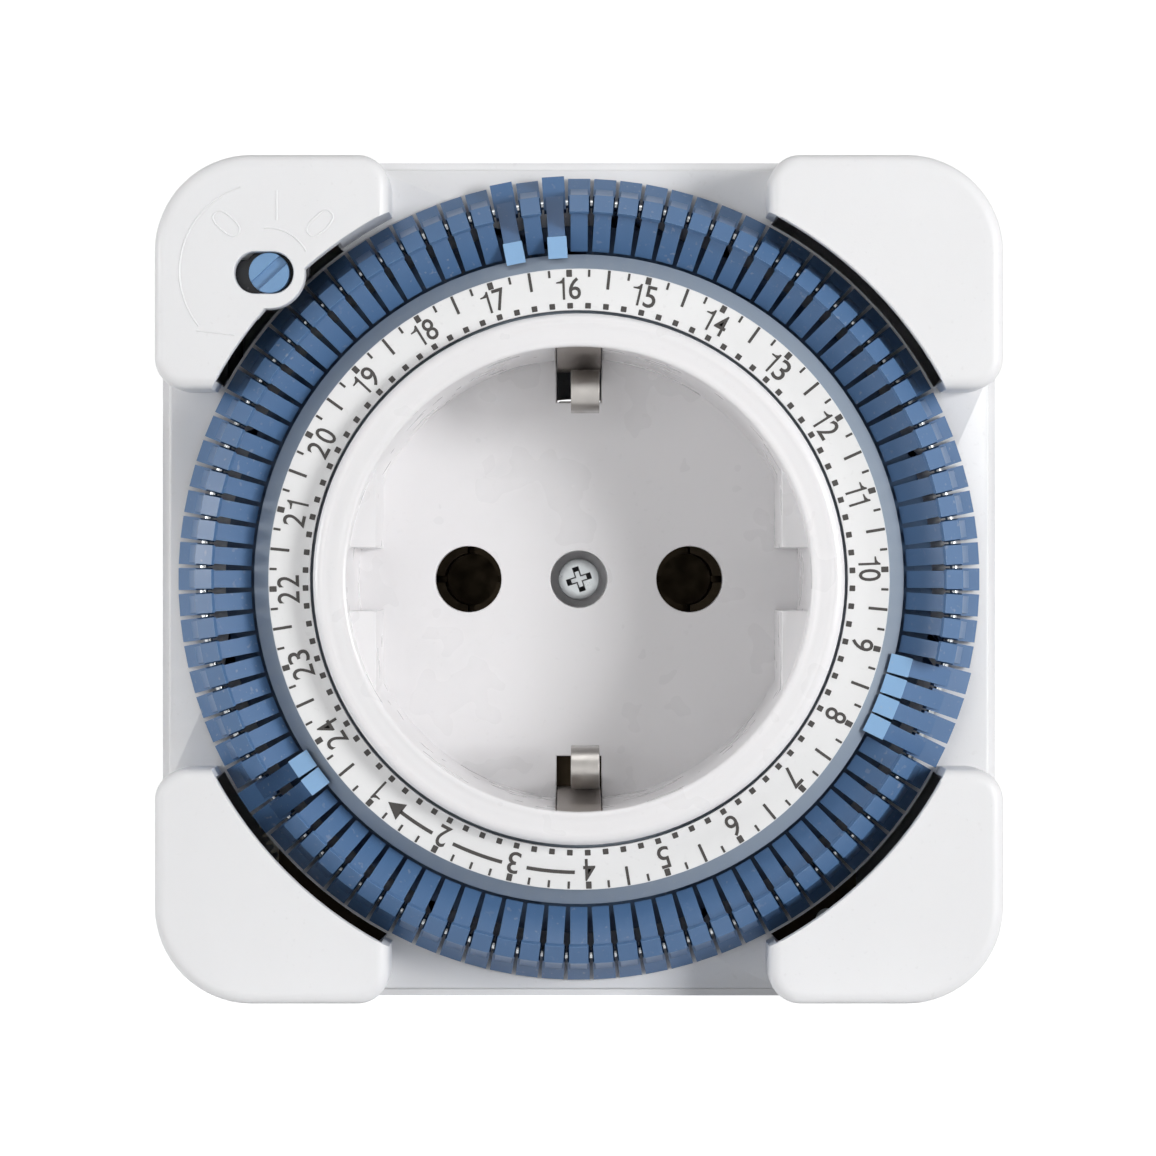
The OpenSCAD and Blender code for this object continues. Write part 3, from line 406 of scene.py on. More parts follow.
def cad_copy(node, name):
    """A merged copy of a CAD node with a mesh of its own, its flat faces joined up."""
    only(frame["nodes"][node])
    bpy.ops.object.duplicate()
    piece = named(name)
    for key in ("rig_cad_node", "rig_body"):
        if key in piece:
            del piece[key]
    bpy.ops.mesh.customdata_custom_splitnormals_clear()
    bpy.ops.object.mode_set(mode="EDIT")
    bpy.ops.mesh.select_all(action="SELECT")
    bpy.ops.mesh.remove_doubles(threshold=0.0005 * MM)
    bpy.ops.mesh.dissolve_limited(angle_limit=FLAT_ANGLE)
    bpy.ops.object.mode_set(mode="OBJECT")
    return piece


def round_edges(piece, width, segments, test):
    """Rounds the sharp outward edges that a test picks by their two ends."""

    def picked(edge):
        sharp = len(edge.link_faces) == 2 and edge.calc_face_angle_signed(0.0) > SHARP_ANGLE
        return sharp and test(edge.verts[0].co, edge.verts[1].co)

    edit_picked(piece, "EDGE", picked)
    bpy.ops.mesh.bevel(
        offset_type="OFFSET", offset=width, segments=segments, profile=0.5, affect="EDGES",
        clamp_overlap=False,
    )
    bpy.ops.object.mode_set(mode="OBJECT")


def soften(piece, width, segments=2, angle=35.0):
    """Rounds every sharp edge of a piece a little."""
    only(piece)
    bevel = piece.modifiers.new("Rounding", "BEVEL")
    bevel.width = width
    bevel.segments = segments
    bevel.limit_method = "ANGLE"
    bevel.angle_limit = math.radians(angle)
    bevel.use_clamp_overlap = True
    bevel.miter_outer = "MITER_ARC"
    bpy.ops.object.modifier_apply(modifier=bevel.name)


def smooth(piece, angle=38.0, keep_flats=True):
    """Shades curves smooth and flat faces flat, and splits faces of more than four sides."""
    only(piece)
    bpy.ops.object.shade_smooth_by_angle(angle=math.radians(angle))
    if keep_flats:
        weighted = piece.modifiers.new("Weighted", "WEIGHTED_NORMAL")
        weighted.keep_sharp = True
        weighted.weight = 80
        bpy.ops.object.modifier_apply(modifier=weighted.name)
    split = piece.modifiers.new("Split", "TRIANGULATE")
    split.min_vertices = 5
    split.keep_custom_normals = True
    bpy.ops.object.modifier_apply(modifier=split.name)


def settle(piece, body, slot, *nodes):
    """Lets a piece ride a body and hides the nodes that it stands for; the slot is not used."""
    only(piece)
    fix_place()
    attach(piece, body)
    if nodes:
        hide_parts(*nodes)
    return piece


def dress_copy(node, name, material, width, segments=2, angle=35.0):
    """A CAD node with softened edges and its finish."""
    piece = cad_copy(node, name)
    soften(piece, width, segments, angle)
    smooth(piece)
    finish(piece, material)
    return settle(piece, BODY_OF[node], SLOT_OF[node], node)


def turned(piece, heading):
    """Turns a piece made at the top of the dial to a heading."""
    piece.rotation_euler.y = math.radians(90.0 - heading)


def repeated(piece, headings):
    """Copies a piece made at the top of the dial to every heading and joins the copies."""
    copies = []
    for heading in headings[1:]:
        only(piece)
        bpy.ops.object.duplicate()
        copy = bpy.context.object
        turned(copy, heading)
        copies.append(copy)
    turned(piece, headings[0])
    if copies:
        only(piece, *copies)
        bpy.ops.object.join()
    only(piece)
    fix_place()
    return piece


def slab(name, centre, size, corner):
    """A thin block whose broad faces look to the front and back, with its corners rounded."""
    bpy.ops.mesh.primitive_cube_add(size=1.0, location=centre, scale=size)
    piece = named(name)
    fix_place()
    round_edges(piece, corner, 2, lambda a, b: abs(a.y - b.y) > size[1] / 2)
    return piece


def swept_bar(name, radius, width, front, thickness, start, end):
    """A flat bar that follows an arc round the dial's axis between two headings."""
    middle = (0, front + thickness / 2, radius)
    bpy.ops.mesh.primitive_plane_add(size=1.0, location=middle)
    piece = named(name)
    piece.scale = (thickness, width, 1.0)
    piece.rotation_euler = (math.pi / 2, 0, math.pi / 2)
    fix_place()
    bpy.ops.object.mode_set(mode="EDIT")
    bpy.ops.mesh.select_all(action="SELECT")
    sweep = math.radians(end - start)
    bpy.ops.mesh.spin(steps=16, angle=sweep, center=(0, 0, 0), axis=(0, 1, 0))
    bpy.ops.mesh.select_all(action="SELECT")
    bpy.ops.mesh.normals_make_consistent(inside=False)
    bpy.ops.object.mode_set(mode="OBJECT")
    turned(piece, start)
    fix_place()
    return piece


def flat_outline(name, points, front, thickness):
    """A thin plate whose outline is given as x and z, with its front face at a level."""
    bpy.ops.mesh.primitive_circle_add(vertices=len(points), radius=1.0, fill_type="NGON")
    piece = named(name)
    for vertex, (x, z) in zip(piece.data.vertices, points):
        vertex.co = (x, front, z)
    bpy.ops.object.mode_set(mode="EDIT")
    bpy.ops.mesh.select_all(action="SELECT")
    bpy.ops.mesh.extrude_region_move(TRANSFORM_OT_translate={"value": (0, thickness, 0)})
    bpy.ops.mesh.select_all(action="SELECT")
    bpy.ops.mesh.normals_make_consistent(inside=False)
    bpy.ops.object.mode_set(mode="OBJECT")
    return piece


def raised_line(points, width, closed):
    """A thin bead along points given as x and z, half sunk in the towers' front face."""
    bpy.ops.mesh.primitive_circle_add(vertices=len(points), radius=1.0, fill_type="NOTHING")
    piece = named("bead")
    for vertex, (x, z) in zip(piece.data.vertices, points):
        vertex.co = (x, TOWER_FRONT, z)
    if not closed:
        ends = {0, len(points) - 1}
        edit_picked(piece, "EDGE", lambda edge: {vert.index for vert in edge.verts} == ends)
        bpy.ops.mesh.delete(type="EDGE")
        bpy.ops.object.mode_set(mode="OBJECT")
    bpy.ops.object.convert(target="CURVE")
    piece = bpy.context.object
    piece.data.bevel_depth = width / 2
    piece.data.bevel_resolution = 2
    piece.data.use_fill_caps = True
    bpy.ops.object.convert(target="MESH")
    return bpy.context.object


def ring_points(centre, radius, start, end, steps, flat=1.0, tilt=0.0, power=1.0):
    """Points as x and z on an arc or a flattened, tilted ring; a power below one squares it up."""
    points = []
    for i in range(steps + 1):
        turn = math.radians(start + (end - start) * i / steps)
        along, across = (
            math.copysign(abs(part) ** power, part) for part in (math.cos(turn), math.sin(turn))
        )
        x, z = leant(radius * along, radius * flat * across, tilt)
        points.append((centre[0] + x, centre[1] + z))
    return points


def leant(along, across, tilt):
    """A point's x and z after a turn about the origin, in degrees."""
    lean = math.radians(tilt)
    x = along * math.cos(lean) - across * math.sin(lean)
    z = along * math.sin(lean) + across * math.cos(lean)
    return x, z


def digit_shape(digit, height, width, thickness):
    """A digit as a mesh from its left edge at the origin, upright and facing the front."""
    bpy.ops.object.text_add(location=(0, 0, 0), rotation=(math.pi / 2, 0, 0))
    text = bpy.context.object.data
    text.body = digit
    text.offset = DIGIT_WEIGHT
    text.resolution_u = 4
    text.extrude = 0.5
    bpy.ops.object.convert(target="MESH")
    piece = bpy.context.object
    only(piece)
    fix_place()
    low = [min(v.co[i] for v in piece.data.vertices) for i in range(3)]
    high = [max(v.co[i] for v in piece.data.vertices) for i in range(3)]
    across, up = width / (high[0] - low[0]), height / (high[2] - low[2])
    piece.scale = (across, thickness, up)
    piece.location = (-low[0] * across, 0, -(low[2] + high[2]) / 2 * up)
    fix_place()
    return piece


def number_shape(text, height, thickness):
    """An hour's digits side by side, centred on the origin; the figure one has a short flag."""
    stem, one_width, other_width = 0.28, 0.386, 0.545
    one = (
        (stem, -0.5), (one_width, -0.5), (one_width, 0.5), (0.31, 0.5), (0.26, 0.4),
        (0.16, 0.33), (0, 0.3), (0, 0.24), (stem, 0.24),
    )
    gap = 0.18 * height
    widths = [(one_width if digit == "1" else other_width) * height for digit in text]
    edge = -(sum(widths) + gap * (len(text) - 1)) / 2
    digits = []
    for digit, width in zip(text, widths):
        if digit == "1":
            points = [(x * height, z * height) for x, z in one]
            piece = flat_outline("digit", points, -thickness / 2, thickness)
        else:
            piece = digit_shape(digit, height, width, thickness)
        piece.location.x = edge
        digits.append(piece)
        edge += width + gap
    number = joined("number", *digits)
    fix_place()
    return number


def joined(name, *pieces):
    """Joins pieces into the first one and names it."""
    only(*pieces)
    bpy.ops.object.join()
    return named(name)


# ---------------------------------------------------------------- operators


class TIMER_OT_finishes(bpy.types.Operator):
    """Makes the surface groups and the finishes of all pieces"""

    bl_idname = "timer.finishes"
    bl_label = "Make finishes"

    def execute(self, context):
        _, colours, _ = settings()
        moulded_surface_group()
        metal_surface_group()
        plastic("housing_white", colours.housing, 0.42, grain=1.2, dust=0.12, soft=0.04)
        plastic("rear_white", colours.rear, 0.46, grain=1.4, dust=0.15)
        plastic("cup_white", colours.cup, 0.30, grain=0.5, dust=0.08, coat=0.15, soft=0.04)
        plastic("tab_blue", colours.tabs, 0.38, grain=0.9, dust=0.30, soft=0.05)
        # Painted sheen on the dial carrier's cone.
        plastic("cone_grey", colours.cone, 0.40, grain=0.8, dust=0.20)
        # Painted light on the tabs' front-facing caps.
        plastic("cap_blue", colours.caps, 0.36, grain=0.9, dust=0.35, soft=0.05)
        plastic("carrier_blue", colours.carrier, 0.42, grain=0.8, dust=0.25)
        plastic("knob_blue", colours.knob, 0.36, grain=0.9, dust=0.20)
        plastic("ring_white", colours.ring, 0.48, grain=0.8, dust=0.15)
        plastic("print_ink", colours.ink, 0.55, grain=1.5, dust=0.10)
        plastic("ivory_plastic", colours.ivory, 0.45, dust=0.20, soft=0.05)
        plastic("black_plastic", colours.black, 0.45, dust=0.25)
        plastic("lead_red", colours.lead, 0.40, dust=0.15)
        plastic("rotor_ferrite", colours.ferrite, 0.60, grain=3.0, dust=0.30)
        metal("nickel", colours.nickel, 0.36)
        metal("inner_brass", colours.brass, 0.30)
        # Tarnish and painted shade for the plates and contacts inside.
        metal("tarnished_brass", colours.tarnish, 0.45)
        # Painted shade for the walls of the screw's recess.
        plastic("screw_recess", colours.black, 0.50, dust=0.10)
        # Painted shade for the earth uprights.
        plastic("dull_steel", colours.dull, 0.55, grain=1.5, dust=0.10)
        metal("zinc_steel", colours.zinc, 0.32)
        metal("spring_steel", colours.zinc, 0.25)
        metal("copper_coil", colours.copper, 0.35, streak=2.0)
        return {"FINISHED"}


def on_level(level):
    """A test for edges that lie at one distance from the front."""
    return lambda a, b: abs(a.y - level) < LEVEL_SLACK and abs(b.y - level) < LEVEL_SLACK


def by_dial(a, b):
    """Whether an edge lies on a tower's arc or round the override slot."""
    arc_reach, slot_reach = 35.3 * MM, 3.9 * MM
    ends = [Vector((point.x, 0, point.z)) for point in (a, b)]
    on_arc = max(end.length for end in ends) < arc_reach
    return on_arc or max((end - SLOT_AT).length for end in ends) < slot_reach


def at_side(a, b):
    """Whether an edge lies on the housing's outside."""
    outside = 33.5 * MM
    return min(max(abs(point.x), abs(point.z)) for point in (a, b)) > outside


class TIMER_OT_housing(bpy.types.Operator):
    """Rounds the front housing's towers, plate and slot, and the rear housing's edges"""

    bl_idname = "timer.housing"
    bl_label = "Front and rear housing"

    def execute(self, context):
        shape, _, _ = settings()
        piece = cad_copy("front_housing", "front_housing_shell")
        top, plate = on_level(TOWER_FRONT), on_level(PLATE_FRONT)
        round_edges(piece, shape.tower_edge, 5, lambda a, b: top(a, b) and not by_dial(a, b))
        round_edges(piece, shape.arc_edge, 2, lambda a, b: top(a, b) and by_dial(a, b))
        round_edges(piece, shape.housing_edge, 2, lambda a, b: plate(a, b) and at_side(a, b))
        smooth(piece)
        finish(piece, "housing_white")
        settle(piece, "root", "housing_white", "front_housing")
        dress_copy("rear_housing", "rear_housing_shell", "rear_white", SHELL_EDGE)
        return {"FINISHED"}


class TIMER_OT_tower_signs(bpy.types.Operator):
    """Models the raised off and on signs and the arcs round the override knob"""

    bl_idname = "timer.tower_signs"
    bl_label = "Signs on the tower"

    def execute(self, context):
        shape, _, _ = settings()
        width = shape.bead_width
        sign_radius, flat, power = 1.28 * MM, 0.50, 0.75
        signs = [
            ring_points((x * MM, z * MM), sign_radius, 0, 351, 39, flat, tilt, power)
            for x, z, tilt in ((-29.11, 29.35, 138.3), (-21.38, 29.38, 44.2))
        ]
        upright = [(-24.94 * MM, z * MM) for z in (32.06, 30.8, 29.63)]
        near_arc = ring_points(KNOB_AT, 3.55 * MM, 95, 27, 16)
        far_arc = ring_points(KNOB_AT, 7.3 * MM, 108, 218.6, 30)
        level = [(x * MM, z * MM) for x, z in ((-31.57, 20.51), (-30.0, 20.34), (-28.4, 20.15))]
        beads = [raised_line(points, width, True) for points in signs]
        strokes = (upright, near_arc, far_arc, level)
        beads += [raised_line(points, width, False) for points in strokes]
        piece = joined("tower_signs", *beads)
        smooth(piece)
        finish(piece, "housing_white")
        settle(piece, "root", "housing_white")
        return {"FINISHED"}


def off_axis(point):
    """A point's distance from the dial's axis."""
    return math.hypot(point.x, point.z)


class TIMER_OT_socket(bpy.types.Operator):
    """Rounds the socket cup's rim, slots and holes and presses the groove into the rim"""

    bl_idname = "timer.socket"
    bl_label = "Socket cup"

    def execute(self, context):
        shape, _, _ = settings()
        piece = cad_copy("socket_cup", "socket_cup_shell")
        rim = on_level(RIM_FRONT)
        outside, mouth, bore, depth = 21.5 * MM, 20.5 * MM, 19.0 * MM, 19.0 * MM
        mouth_edge, inner_edge, lip = 0.3 * MM, 0.12 * MM, 1.0 * MM

        def at_mouth(a, b):
            return rim(a, b) and max(off_axis(a), off_axis(b)) < mouth

        def inside(a, b):
            level = max(a.y, b.y) > RIM_FRONT + lip and min(a.y, b.y) < RIM_FRONT + depth
            return level and min(off_axis(a), off_axis(b)) < bore

        round_edges(piece, shape.rim_edge, 4, lambda a, b: rim(a, b) and off_axis(a) > outside)
        round_edges(piece, mouth_edge, 3, at_mouth)
        round_edges(piece, inner_edge, 2, inside)
        self.press_groove(piece)
        smooth(piece)
        finish(piece, "cup_white")
        settle(piece, "root", "cup_white", "socket_cup")
        return {"FINISHED"}

    def press_groove(self, piece):
        """Sinks a shallow ring-shaped groove into the rim's front face."""
        margin, slope, depth = 0.22 * MM, 0.38 * MM, 0.14 * MM

        def on_rim(face):
            level = abs(face.calc_center_median().y - RIM_FRONT) < LEVEL_SLACK
            return level and face.normal.y < -0.999

        edit_picked(piece, "FACE", on_rim)
        for thickness in (margin, slope):
            bpy.ops.mesh.inset(thickness=thickness, use_boundary=True, use_even_offset=True)
        bpy.ops.transform.translate(value=(0, depth, 0))
        bpy.ops.object.mode_set(mode="OBJECT")


class TIMER_OT_dial(bpy.types.Operator):
    """Softens the dial carrier and the number ring and gives the hinge wire its finish"""

    bl_idname = "timer.dial"
    bl_label = "Dial carrier and ring"

    def execute(self, context):
        shell = dress_copy("dial_carrier", "dial_carrier_shell", "carrier_blue", SMALL_EDGE)
        # The carrier's cone faces get the paler grey blue as painted sheen.
        shell.data.materials.append(bpy.data.materials["cone_grey"])
        cone_radius, cone_back = 27.3 * MM, RING_FRONT + 4 * MM
        for face in shell.data.polygons:
            if off_axis(face.center) < cone_radius and face.center.y < cone_back:
                face.material_index = 1
        dress_copy("number_ring", "number_ring_plate", "ring_white", WHEEL_EDGE)
        finish(frame["nodes"]["hinge_wire"], "spring_steel")
        return {"FINISHED"}


class TIMER_OT_print(bpy.types.Operator):
    """Prints the hours, the marks, the inner squares and the arrow on the number ring"""

    bl_idname = "timer.dial_print"
    bl_label = "Print on the ring"

    def execute(self, context):
        shape, _, _ = settings()
        high = shape.print_height
        middle = RING_FRONT - high / 2
        centre_line, off_mark = 24.1 * MM, 0.2
        parts = self.marks(middle, high)
        for hour in range(1, 25):
            number = number_shape(str(hour), shape.digit_height, high)
            number.location = (0, middle, centre_line)
            only(number)
            fix_place()
            turned(number, HOUR_16_HEADING + off_mark + (hour - 16) * HOUR_STEP)
            parts.append(number)
        parts += self.arrow(middle - high / 2, high)
        piece = joined("dial_print", *parts)
        fix_place()
        finish(piece, "print_ink")
        settle(piece, "dial", "ring_white")
        return {"FINISHED"}

    def marks(self, middle, high):
        """The marks of hours, half hours and quarter hours, and the squares inside the numbers."""
        first, half = HOUR_16_HEADING, HOUR_STEP / 2
        hours = [first + HOUR_STEP * i for i in range(24)]
        quarters = [first + QUARTER_STEP + half * i for i in range(48)]
        squares = [first + QUARTER_STEP * i for i in range(96)]
        # The half-hour marks after 1, 2 and 3 are short, because the arrow's arcs run there.
        by_arrow = [first + half + HOUR_STEP * (hour - 16) for hour in (1, 2, 3)]
        halves = [first + half + HOUR_STEP * i for i in range(24)]
        long = [
            heading for heading in halves
            if not any(abs((heading - arc + 180) % 360 - 180) < 0.1 for arc in by_arrow)
        ]
        return [
            repeated(slab(name, (0, middle, at * MM), (w * MM, high, h * MM), corner * MM), places)
            for name, at, w, h, corner, places in (
                ("hour_mark", 25.36, 0.47, 0.60, 0.05, hours),
                ("half_mark", 24.9, 0.24, 1.58, 0.04, long),
                ("quarter_mark", 25.36, 0.20, 0.60, 0.03, quarters + by_arrow),
                ("inner_mark", 22.67, 0.47, 0.47, 0.05, squares),
            )
        ]

    def arrow(self, front, high):
        """The three arcs from 4 back to 1 and the arrow's head."""
        line, width, reach = 24.29 * MM, 0.30 * MM, 0.79 * MM
        arcs = [
            swept_bar("time_arc", line, width, front, high, start, end)
            for start, end in ((-90.8, -100.3), (-105.2, -115.5), (-120.0, -127.6))
        ]
        tip, base = math.radians(-130.6), math.radians(-127.3)
        corners = ((line, tip), (line - reach, base), (line + reach, base))
        points = [(away * math.cos(turn), away * math.sin(turn)) for away, turn in corners]
        return [*arcs, flat_outline("arrow_head", points, front, high)]


class TIMER_OT_tabs(bpy.types.Operator):
    """Softens the edges of the tabs and paints their front-facing cap faces a paler blue, as
    painted light
    """

    bl_idname = "timer.tabs"
    bl_label = "Tabs"

    def execute(self, context):
        shape, _, _ = settings()
        # Faces that face the front near the caps get the paler blue as painted light; the slopes
        # keep the darker tab blue.
        cap_back, facing_front = RING_FRONT + 3 * MM, -0.92
        for node in ["standing_tabs", *TAB_NODES]:
            piece = dress_copy(node, node + "_moulding", "tab_blue", shape.tab_edge, 2, 20.0)
            piece.data.materials.append(bpy.data.materials["cap_blue"])
            for face in piece.data.polygons:
                painted_light_cap = face.normal.y < facing_front and face.center.y < cap_back
                face.material_index = int(painted_light_cap)
        return {"FINISHED"}


class TIMER_OT_switch(bpy.types.Operator):
    """Dresses the override knob, the slider, the plunger and the switch inside"""

    bl_idname = "timer.switch"
    bl_label = "Override switch"

    def execute(self, context):
        dress_copy("override_knob", "override_knob_moulding", "knob_blue", HANDLED_EDGE)
        dress_copy("switch_slider", "switch_slider_moulding", "black_plastic", HANDLED_EDGE)
        for node, material in (
            ("microswitch_case", "black_plastic"), ("microswitch_cover", "black_plastic"),
            ("microswitch_plunger", "ivory_plastic"), ("feed_terminal", "inner_brass"),
            ("out_terminal", "inner_brass"), ("contact_leaf", "spring_steel"),
        ):
            dress_copy(node, node + "_dressed", material, SMALL_EDGE)
        return {"FINISHED"}


class TIMER_OT_contacts(bpy.types.Operator):
    """Dresses the pins, the socket contacts, the strips, the earth bows and the screws"""

    bl_idname = "timer.contacts"
    bl_label = "Pins and contacts"

    def execute(self, context):
        shape, _, _ = settings()
        edge = shape.metal_edge
        for node, material, width in (
            ("line_pin", "nickel", edge), ("neutral_pin", "nickel", edge),
            # The socket contacts and strips get the tarnish darkened as painted shade.
            ("line_contact", "tarnished_brass", edge),
            ("neutral_contact", "tarnished_brass", edge),
            ("neutral_busbar", "tarnished_brass", edge),
            ("line_feed_busbar", "tarnished_brass", edge),
            ("line_out_busbar", "tarnished_brass", edge),
            ("earth_link", "nickel", edge), ("plug_earth_bow", "nickel", edge),
            ("contact_carrier", "black_plastic", SHELL_EDGE),
            ("housing_screws", "zinc_steel", edge),
        ):
            dress_copy(node, node + "_dressed", material, width)
        self.dress_bow(edge)
        self.cut_screw()
        return {"FINISHED"}

    def dress_bow(self, width):
        """The socket's earth clips with smooth bends, and uprights behind them painted a matt
        grey-brown as painted shade.
        """
        piece = cad_copy("earth_bow", "earth_bow_dressed")
        soften(piece, width, 2, 60.0)
        smooth(piece, 50.0)
        finish(piece, "nickel")
        piece.data.materials.append(bpy.data.materials["dull_steel"])
        # Faces further out than this are the uprights, which get the painted shade.
        uprights_from = 17.85 * MM
        for face in piece.data.polygons:
            face.material_index = int(abs(face.center.z) > uprights_from)
        settle(piece, "root", "nickel", "earth_bow")

    def cut_screw(self):
        """The screw in the socket's middle, with a cross recess in place of the plain one and its
        walls painted near black as painted shade.
        """
        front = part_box("centre_screw")[0].y
        piece = cad_copy("centre_screw", "centre_screw_dressed")
        hex_reach, hex_from, hex_to = 0.9 * MM, front + 0.1 * MM, front + 1.1 * MM
        cross_reach, cross_from, flat = 1.2 * MM, front + 0.05 * MM, 0.9

        def in_recess(face):
            middle = face.calc_center_bounds()
            return off_axis(middle) < hex_reach and hex_from < middle.y < hex_to

        edit_picked(piece, "FACE", in_recess)
        bpy.ops.mesh.delete(type="FACE")
        bpy.ops.mesh.select_mode(type="EDGE")
        bpy.ops.mesh.select_non_manifold()
        bpy.ops.mesh.edge_face_add()
        bpy.ops.mesh.select_all(action="SELECT")
        bpy.ops.mesh.dissolve_limited(angle_limit=FLAT_ANGLE)
        bpy.ops.object.mode_set(mode="OBJECT")
        soften(piece, 0.15 * MM)
        cutter = self.cross_cutter(front)
        only(piece)
        cut = piece.modifiers.new("Recess", "BOOLEAN")
        cut.object = cutter
        bpy.ops.object.modifier_apply(modifier=cut.name)
        bpy.data.objects.remove(cutter)
        smooth(piece, 30.0, False)
        finish(piece, "zinc_steel")
        # The recess walls get a near-black finish as painted shade.
        piece.data.materials.append(bpy.data.materials["screw_recess"])
        for face in piece.data.polygons:
            wall = face.center.y > cross_from and abs(face.normal.y) < flat
            face.material_index = int(wall and off_axis(face.center) < cross_reach)
        settle(piece, "root", "zinc_steel", "centre_screw")

    def cross_cutter(self, front):
        """A cross that narrows towards its back."""
        arm, half, lead, depth = 1.15 * MM, 0.3 * MM, 0.1 * MM, 1.1 * MM
        tilt, taper = 18, 0.6
        corners = [
            leant(along, across, tilt + turn)
            for turn in (0, 90, 180, 270)
            for along, across in ((arm, -half), (arm, half), (half, half))
        ]
        cutter = flat_outline("cutter", corners, front - lead, depth)
        for vertex in cutter.data.vertices:
            if vertex.co.y > front:
                vertex.co.x, vertex.co.z = taper * vertex.co.x, taper * vertex.co.z
        return cutter


class TIMER_OT_drive(bpy.types.Operator):
    """Dresses the motor, the gear plates and the wheels"""

    bl_idname = "timer.drive"
    bl_label = "Motor and wheels"

    def execute(self, context):
        for node, material in (
            # The gear plates get the tarnish darkened as painted shade.
            ("lower_gear_plate", "tarnished_brass"), ("upper_gear_plate", "tarnished_brass"),
            ("gear_pillars", "zinc_steel"), ("arbors", "spring_steel"),
            ("motor_cup", "zinc_steel"), ("motor_claw_plate", "zinc_steel"),
            ("motor_bobbin", "ivory_plastic"), ("motor_leads", "lead_red"),
            ("rotor", "rotor_ferrite"), ("rotor_pin", "ivory_plastic"),
            ("clutch_spring", "spring_steel"),
            *((node, "ivory_plastic") for node in TRAIN_NODES),
        ):
            dress_copy(node, node + "_dressed", material, WHEEL_EDGE)
        self.wind_coil()
        return {"FINISHED"}

    def wind_coil(self):
        """Replaces the plain coil with turns of wire laid side by side."""
        low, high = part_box("motor_coil")
        centre = (low + high) / 2
        outer = (high.x - low.x) / 2
        wires = 9
        thick = (high.y - low.y) / wires
        turn_radius = outer - thick / 2
        core = cad_copy("motor_coil", "motor_winding")
        rings = []
        for i in range(wires):
            bpy.ops.mesh.primitive_torus_add(
                major_radius=turn_radius, minor_radius=thick / 2,
                major_segments=72, minor_segments=8, rotation=(math.pi / 2, 0, 0),
                location=(centre.x, low.y + thick * (i + 0.5), centre.z),
            )
            rings.append(bpy.context.object)
        shrink = turn_radius / outer
        for vertex in core.data.vertices:
            flat = Vector((vertex.co.x - centre.x, 0, vertex.co.z - centre.z))
            if flat.length > 0.9 * outer:
                vertex.co.x, vertex.co.z = centre.x + flat.x * shrink, centre.z + flat.z * shrink
        piece = joined("motor_winding", core, *rings)
        smooth(piece, 50.0)
        finish(piece, "copper_coil")
        settle(piece, "root", "copper_coil", "motor_coil")


# Each lamp's name, its heading and its lean from the camera's line in degrees, and its size.
LAMPS = (
    ("key", 9.0, 48.0, 0.17),
    ("front", 180.0, 25.0, 0.30),
    ("low", 0.0, 80.0, 0.50),
    ("left", 180.0, 78.0, 0.30),
    ("top", 90.0, 66.0, 0.30),
)


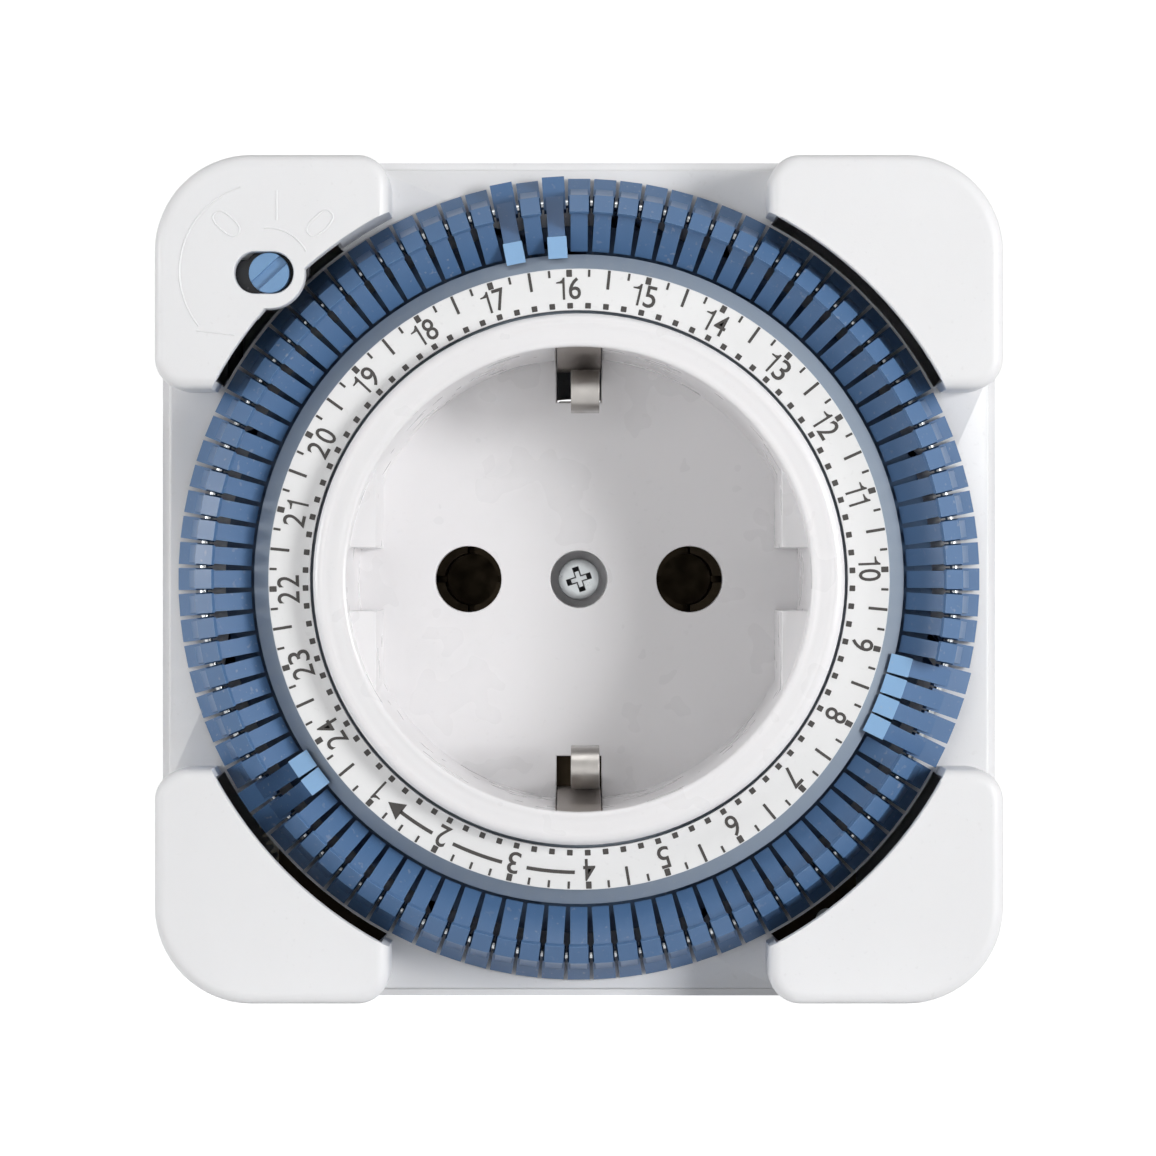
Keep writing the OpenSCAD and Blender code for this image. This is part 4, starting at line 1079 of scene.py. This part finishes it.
class TIMER_OT_stage(bpy.types.Operator):
    """Sets up the camera, the lamps, the even light from all round and the pale floor"""

    bl_idname = "timer.stage"
    bl_label = "Studio stage"

    def execute(self, context):
        _, colours, stage = settings()
        context.scene.view_settings.view_transform = "Standard"
        aside, up = -0.08 * MM, 0.1 * MM
        eye = Vector((aside, RIM_FRONT - stage.distance, up))
        bpy.ops.object.camera_add(location=eye, rotation=(math.pi / 2, 0, 0))
        camera = context.object
        camera.data.lens = stage.lens
        camera.data.sensor_width = 36.0
        context.scene.camera = camera
        for name, heading, lean, size in LAMPS:
            self.add_lamp(name, heading, lean, size, getattr(stage, name + "_power"))
        self.lay_floor(colours.floor)
        self.light_sky(context, stage.sky)
        return {"FINISHED"}

    def add_lamp(self, name, heading, lean, size, power):
        """A square area lamp that faces the timer."""
        heading, lean, away = math.radians(heading), math.radians(lean), 0.6
        side, ahead = away * math.sin(lean), away * math.cos(lean)
        place = Vector((side * math.cos(heading), RIM_FRONT - ahead, side * math.sin(heading)))
        turn = (Vector((0, RIM_FRONT, 0)) - place).to_track_quat("-Z", "Y").to_euler()
        bpy.ops.object.light_add(type="AREA", location=place, rotation=turn)
        lamp = bpy.context.object
        lamp.name = name
        lamp.data.energy = power
        lamp.data.size = size

    def lay_floor(self, colour):
        """A floor that sweeps up into a backdrop far behind the timer."""
        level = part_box("front_housing")[0].z
        width, depth, middle, wall, sweep = 4.0, 2.2, 0.1, 2.0, 0.5

        def at_back(edge):
            return all(v.co.y > middle and v.co.z < level + 0.01 for v in edge.verts)

        bpy.ops.mesh.primitive_plane_add(size=1.0, location=(0, middle, level))
        floor = named("floor")
        floor.scale = (width, depth, 1.0)
        fix_place()
        edit_picked(floor, "EDGE", at_back)
        bpy.ops.mesh.extrude_region_move(TRANSFORM_OT_translate={"value": (0, 0, wall)})
        bpy.ops.object.mode_set(mode="OBJECT")
        edit_picked(floor, "EDGE", at_back)
        bpy.ops.mesh.bevel(offset=sweep, segments=16, affect="EDGES")
        bpy.ops.object.mode_set(mode="OBJECT")
        bpy.ops.object.shade_smooth()
        floor.data.materials.append(self.floor_finish(colour))

    def seen_directly(self, tree):
        """One for rays from the camera or through glass, less for gloss and nought for others."""
        path = tree.nodes.new("ShaderNodeLightPath")
        in_gloss = 0.8
        gloss = span(tree, path, "Is Glossy Ray", 0.0, 1.0, 0.0, in_gloss)
        first = reckon(tree, "MAXIMUM", (path, "Is Camera Ray"), (gloss, "Result"))
        return reckon(tree, "MAXIMUM", (first, 0), (path, "Is Transmission Ray"))

    def floor_finish(self, colour):
        """Pale matt paper that looks nearly white and keeps the timer's shadow."""
        material = bpy.data.materials.new("studio_paper")
        material.use_nodes = True
        tree = material.node_tree
        shader = tree.nodes["Principled BSDF"]
        fibres = scaled_noise(tree, 900.0, 3.0)
        tone = span(tree, fibres, "Fac", 0.3, 0.7, 0.97, 1.0)
        tint = tree.nodes.new("ShaderNodeVectorMath")
        tint.operation = "SCALE"
        tint.inputs[0].default_value = colour
        join(tree, tone, "Result", tint, "Scale")
        join(tree, tint, 0, shader, "Base Color")
        shader.inputs["Roughness"].default_value = 0.9
        shader.inputs["Emission Color"].default_value = (1, 1, 1, 1)
        lift = span(tree, self.seen_directly(tree), 0, 0.0, 1.0, 0.0, 0.9)
        join(tree, lift, "Result", shader, "Emission Strength")
        return material

    def light_sky(self, context, strength):
        """Even light from all round, which itself looks white and shows grey in gloss."""
        world = bpy.data.worlds.new("studio")
        context.scene.world = world
        world.use_nodes = True
        tree = world.node_tree
        even = tree.nodes["Background"]
        even.inputs["Color"].default_value = (1, 1, 1, 1)
        even.inputs["Strength"].default_value = strength
        white = tree.nodes.new("ShaderNodeBackground")
        white.inputs["Color"].default_value = (1, 1, 1, 1)
        mix = tree.nodes.new("ShaderNodeMixShader")
        join(tree, self.seen_directly(tree), 0, mix, 0)
        tree.links.new(even.outputs[0], mix.inputs[1])
        tree.links.new(white.outputs[0], mix.inputs[2])
        tree.links.new(mix.outputs[0], tree.nodes["World Output"].inputs["Surface"])


STEPS = (
    TIMER_OT_finishes,
    TIMER_OT_housing,
    TIMER_OT_tower_signs,
    TIMER_OT_socket,
    TIMER_OT_dial,
    TIMER_OT_print,
    TIMER_OT_tabs,
    TIMER_OT_switch,
    TIMER_OT_contacts,
    TIMER_OT_drive,
    TIMER_OT_stage,
)


class TIMER_PT_panel(bpy.types.Panel):
    """Lists the steps and the settings in the 3D view's sidebar"""

    bl_label = "Day timer"
    bl_idname = "TIMER_PT_panel"
    bl_space_type = "VIEW_3D"
    bl_region_type = "UI"
    bl_category = "Day timer"

    def draw(self, context):
        for group in settings():
            box = self.layout.box()
            for name in group.__annotations__:
                box.prop(group, name)
        for step in STEPS:
            self.layout.operator(step.bl_idname)


CLASSES = (TimerShape, TimerColours, TimerStage, *STEPS, TIMER_PT_panel)


def register():
    for cls in CLASSES:
        bpy.utils.register_class(cls)
    bpy.types.Scene.timer_shape = bpy.props.PointerProperty(type=TimerShape)
    bpy.types.Scene.timer_colours = bpy.props.PointerProperty(type=TimerColours)
    bpy.types.Scene.timer_stage = bpy.props.PointerProperty(type=TimerStage)


def unregister():
    for name in ("timer_shape", "timer_colours", "timer_stage"):
        delattr(bpy.types.Scene, name)
    for cls in reversed(CLASSES):
        bpy.utils.unregister_class(cls)


def main():
    """Builds the whole scene."""
    register()
    for step in STEPS:
        getattr(bpy.ops.timer, step.bl_idname.split(".")[1])()


if __name__ == "__main__":
    main()
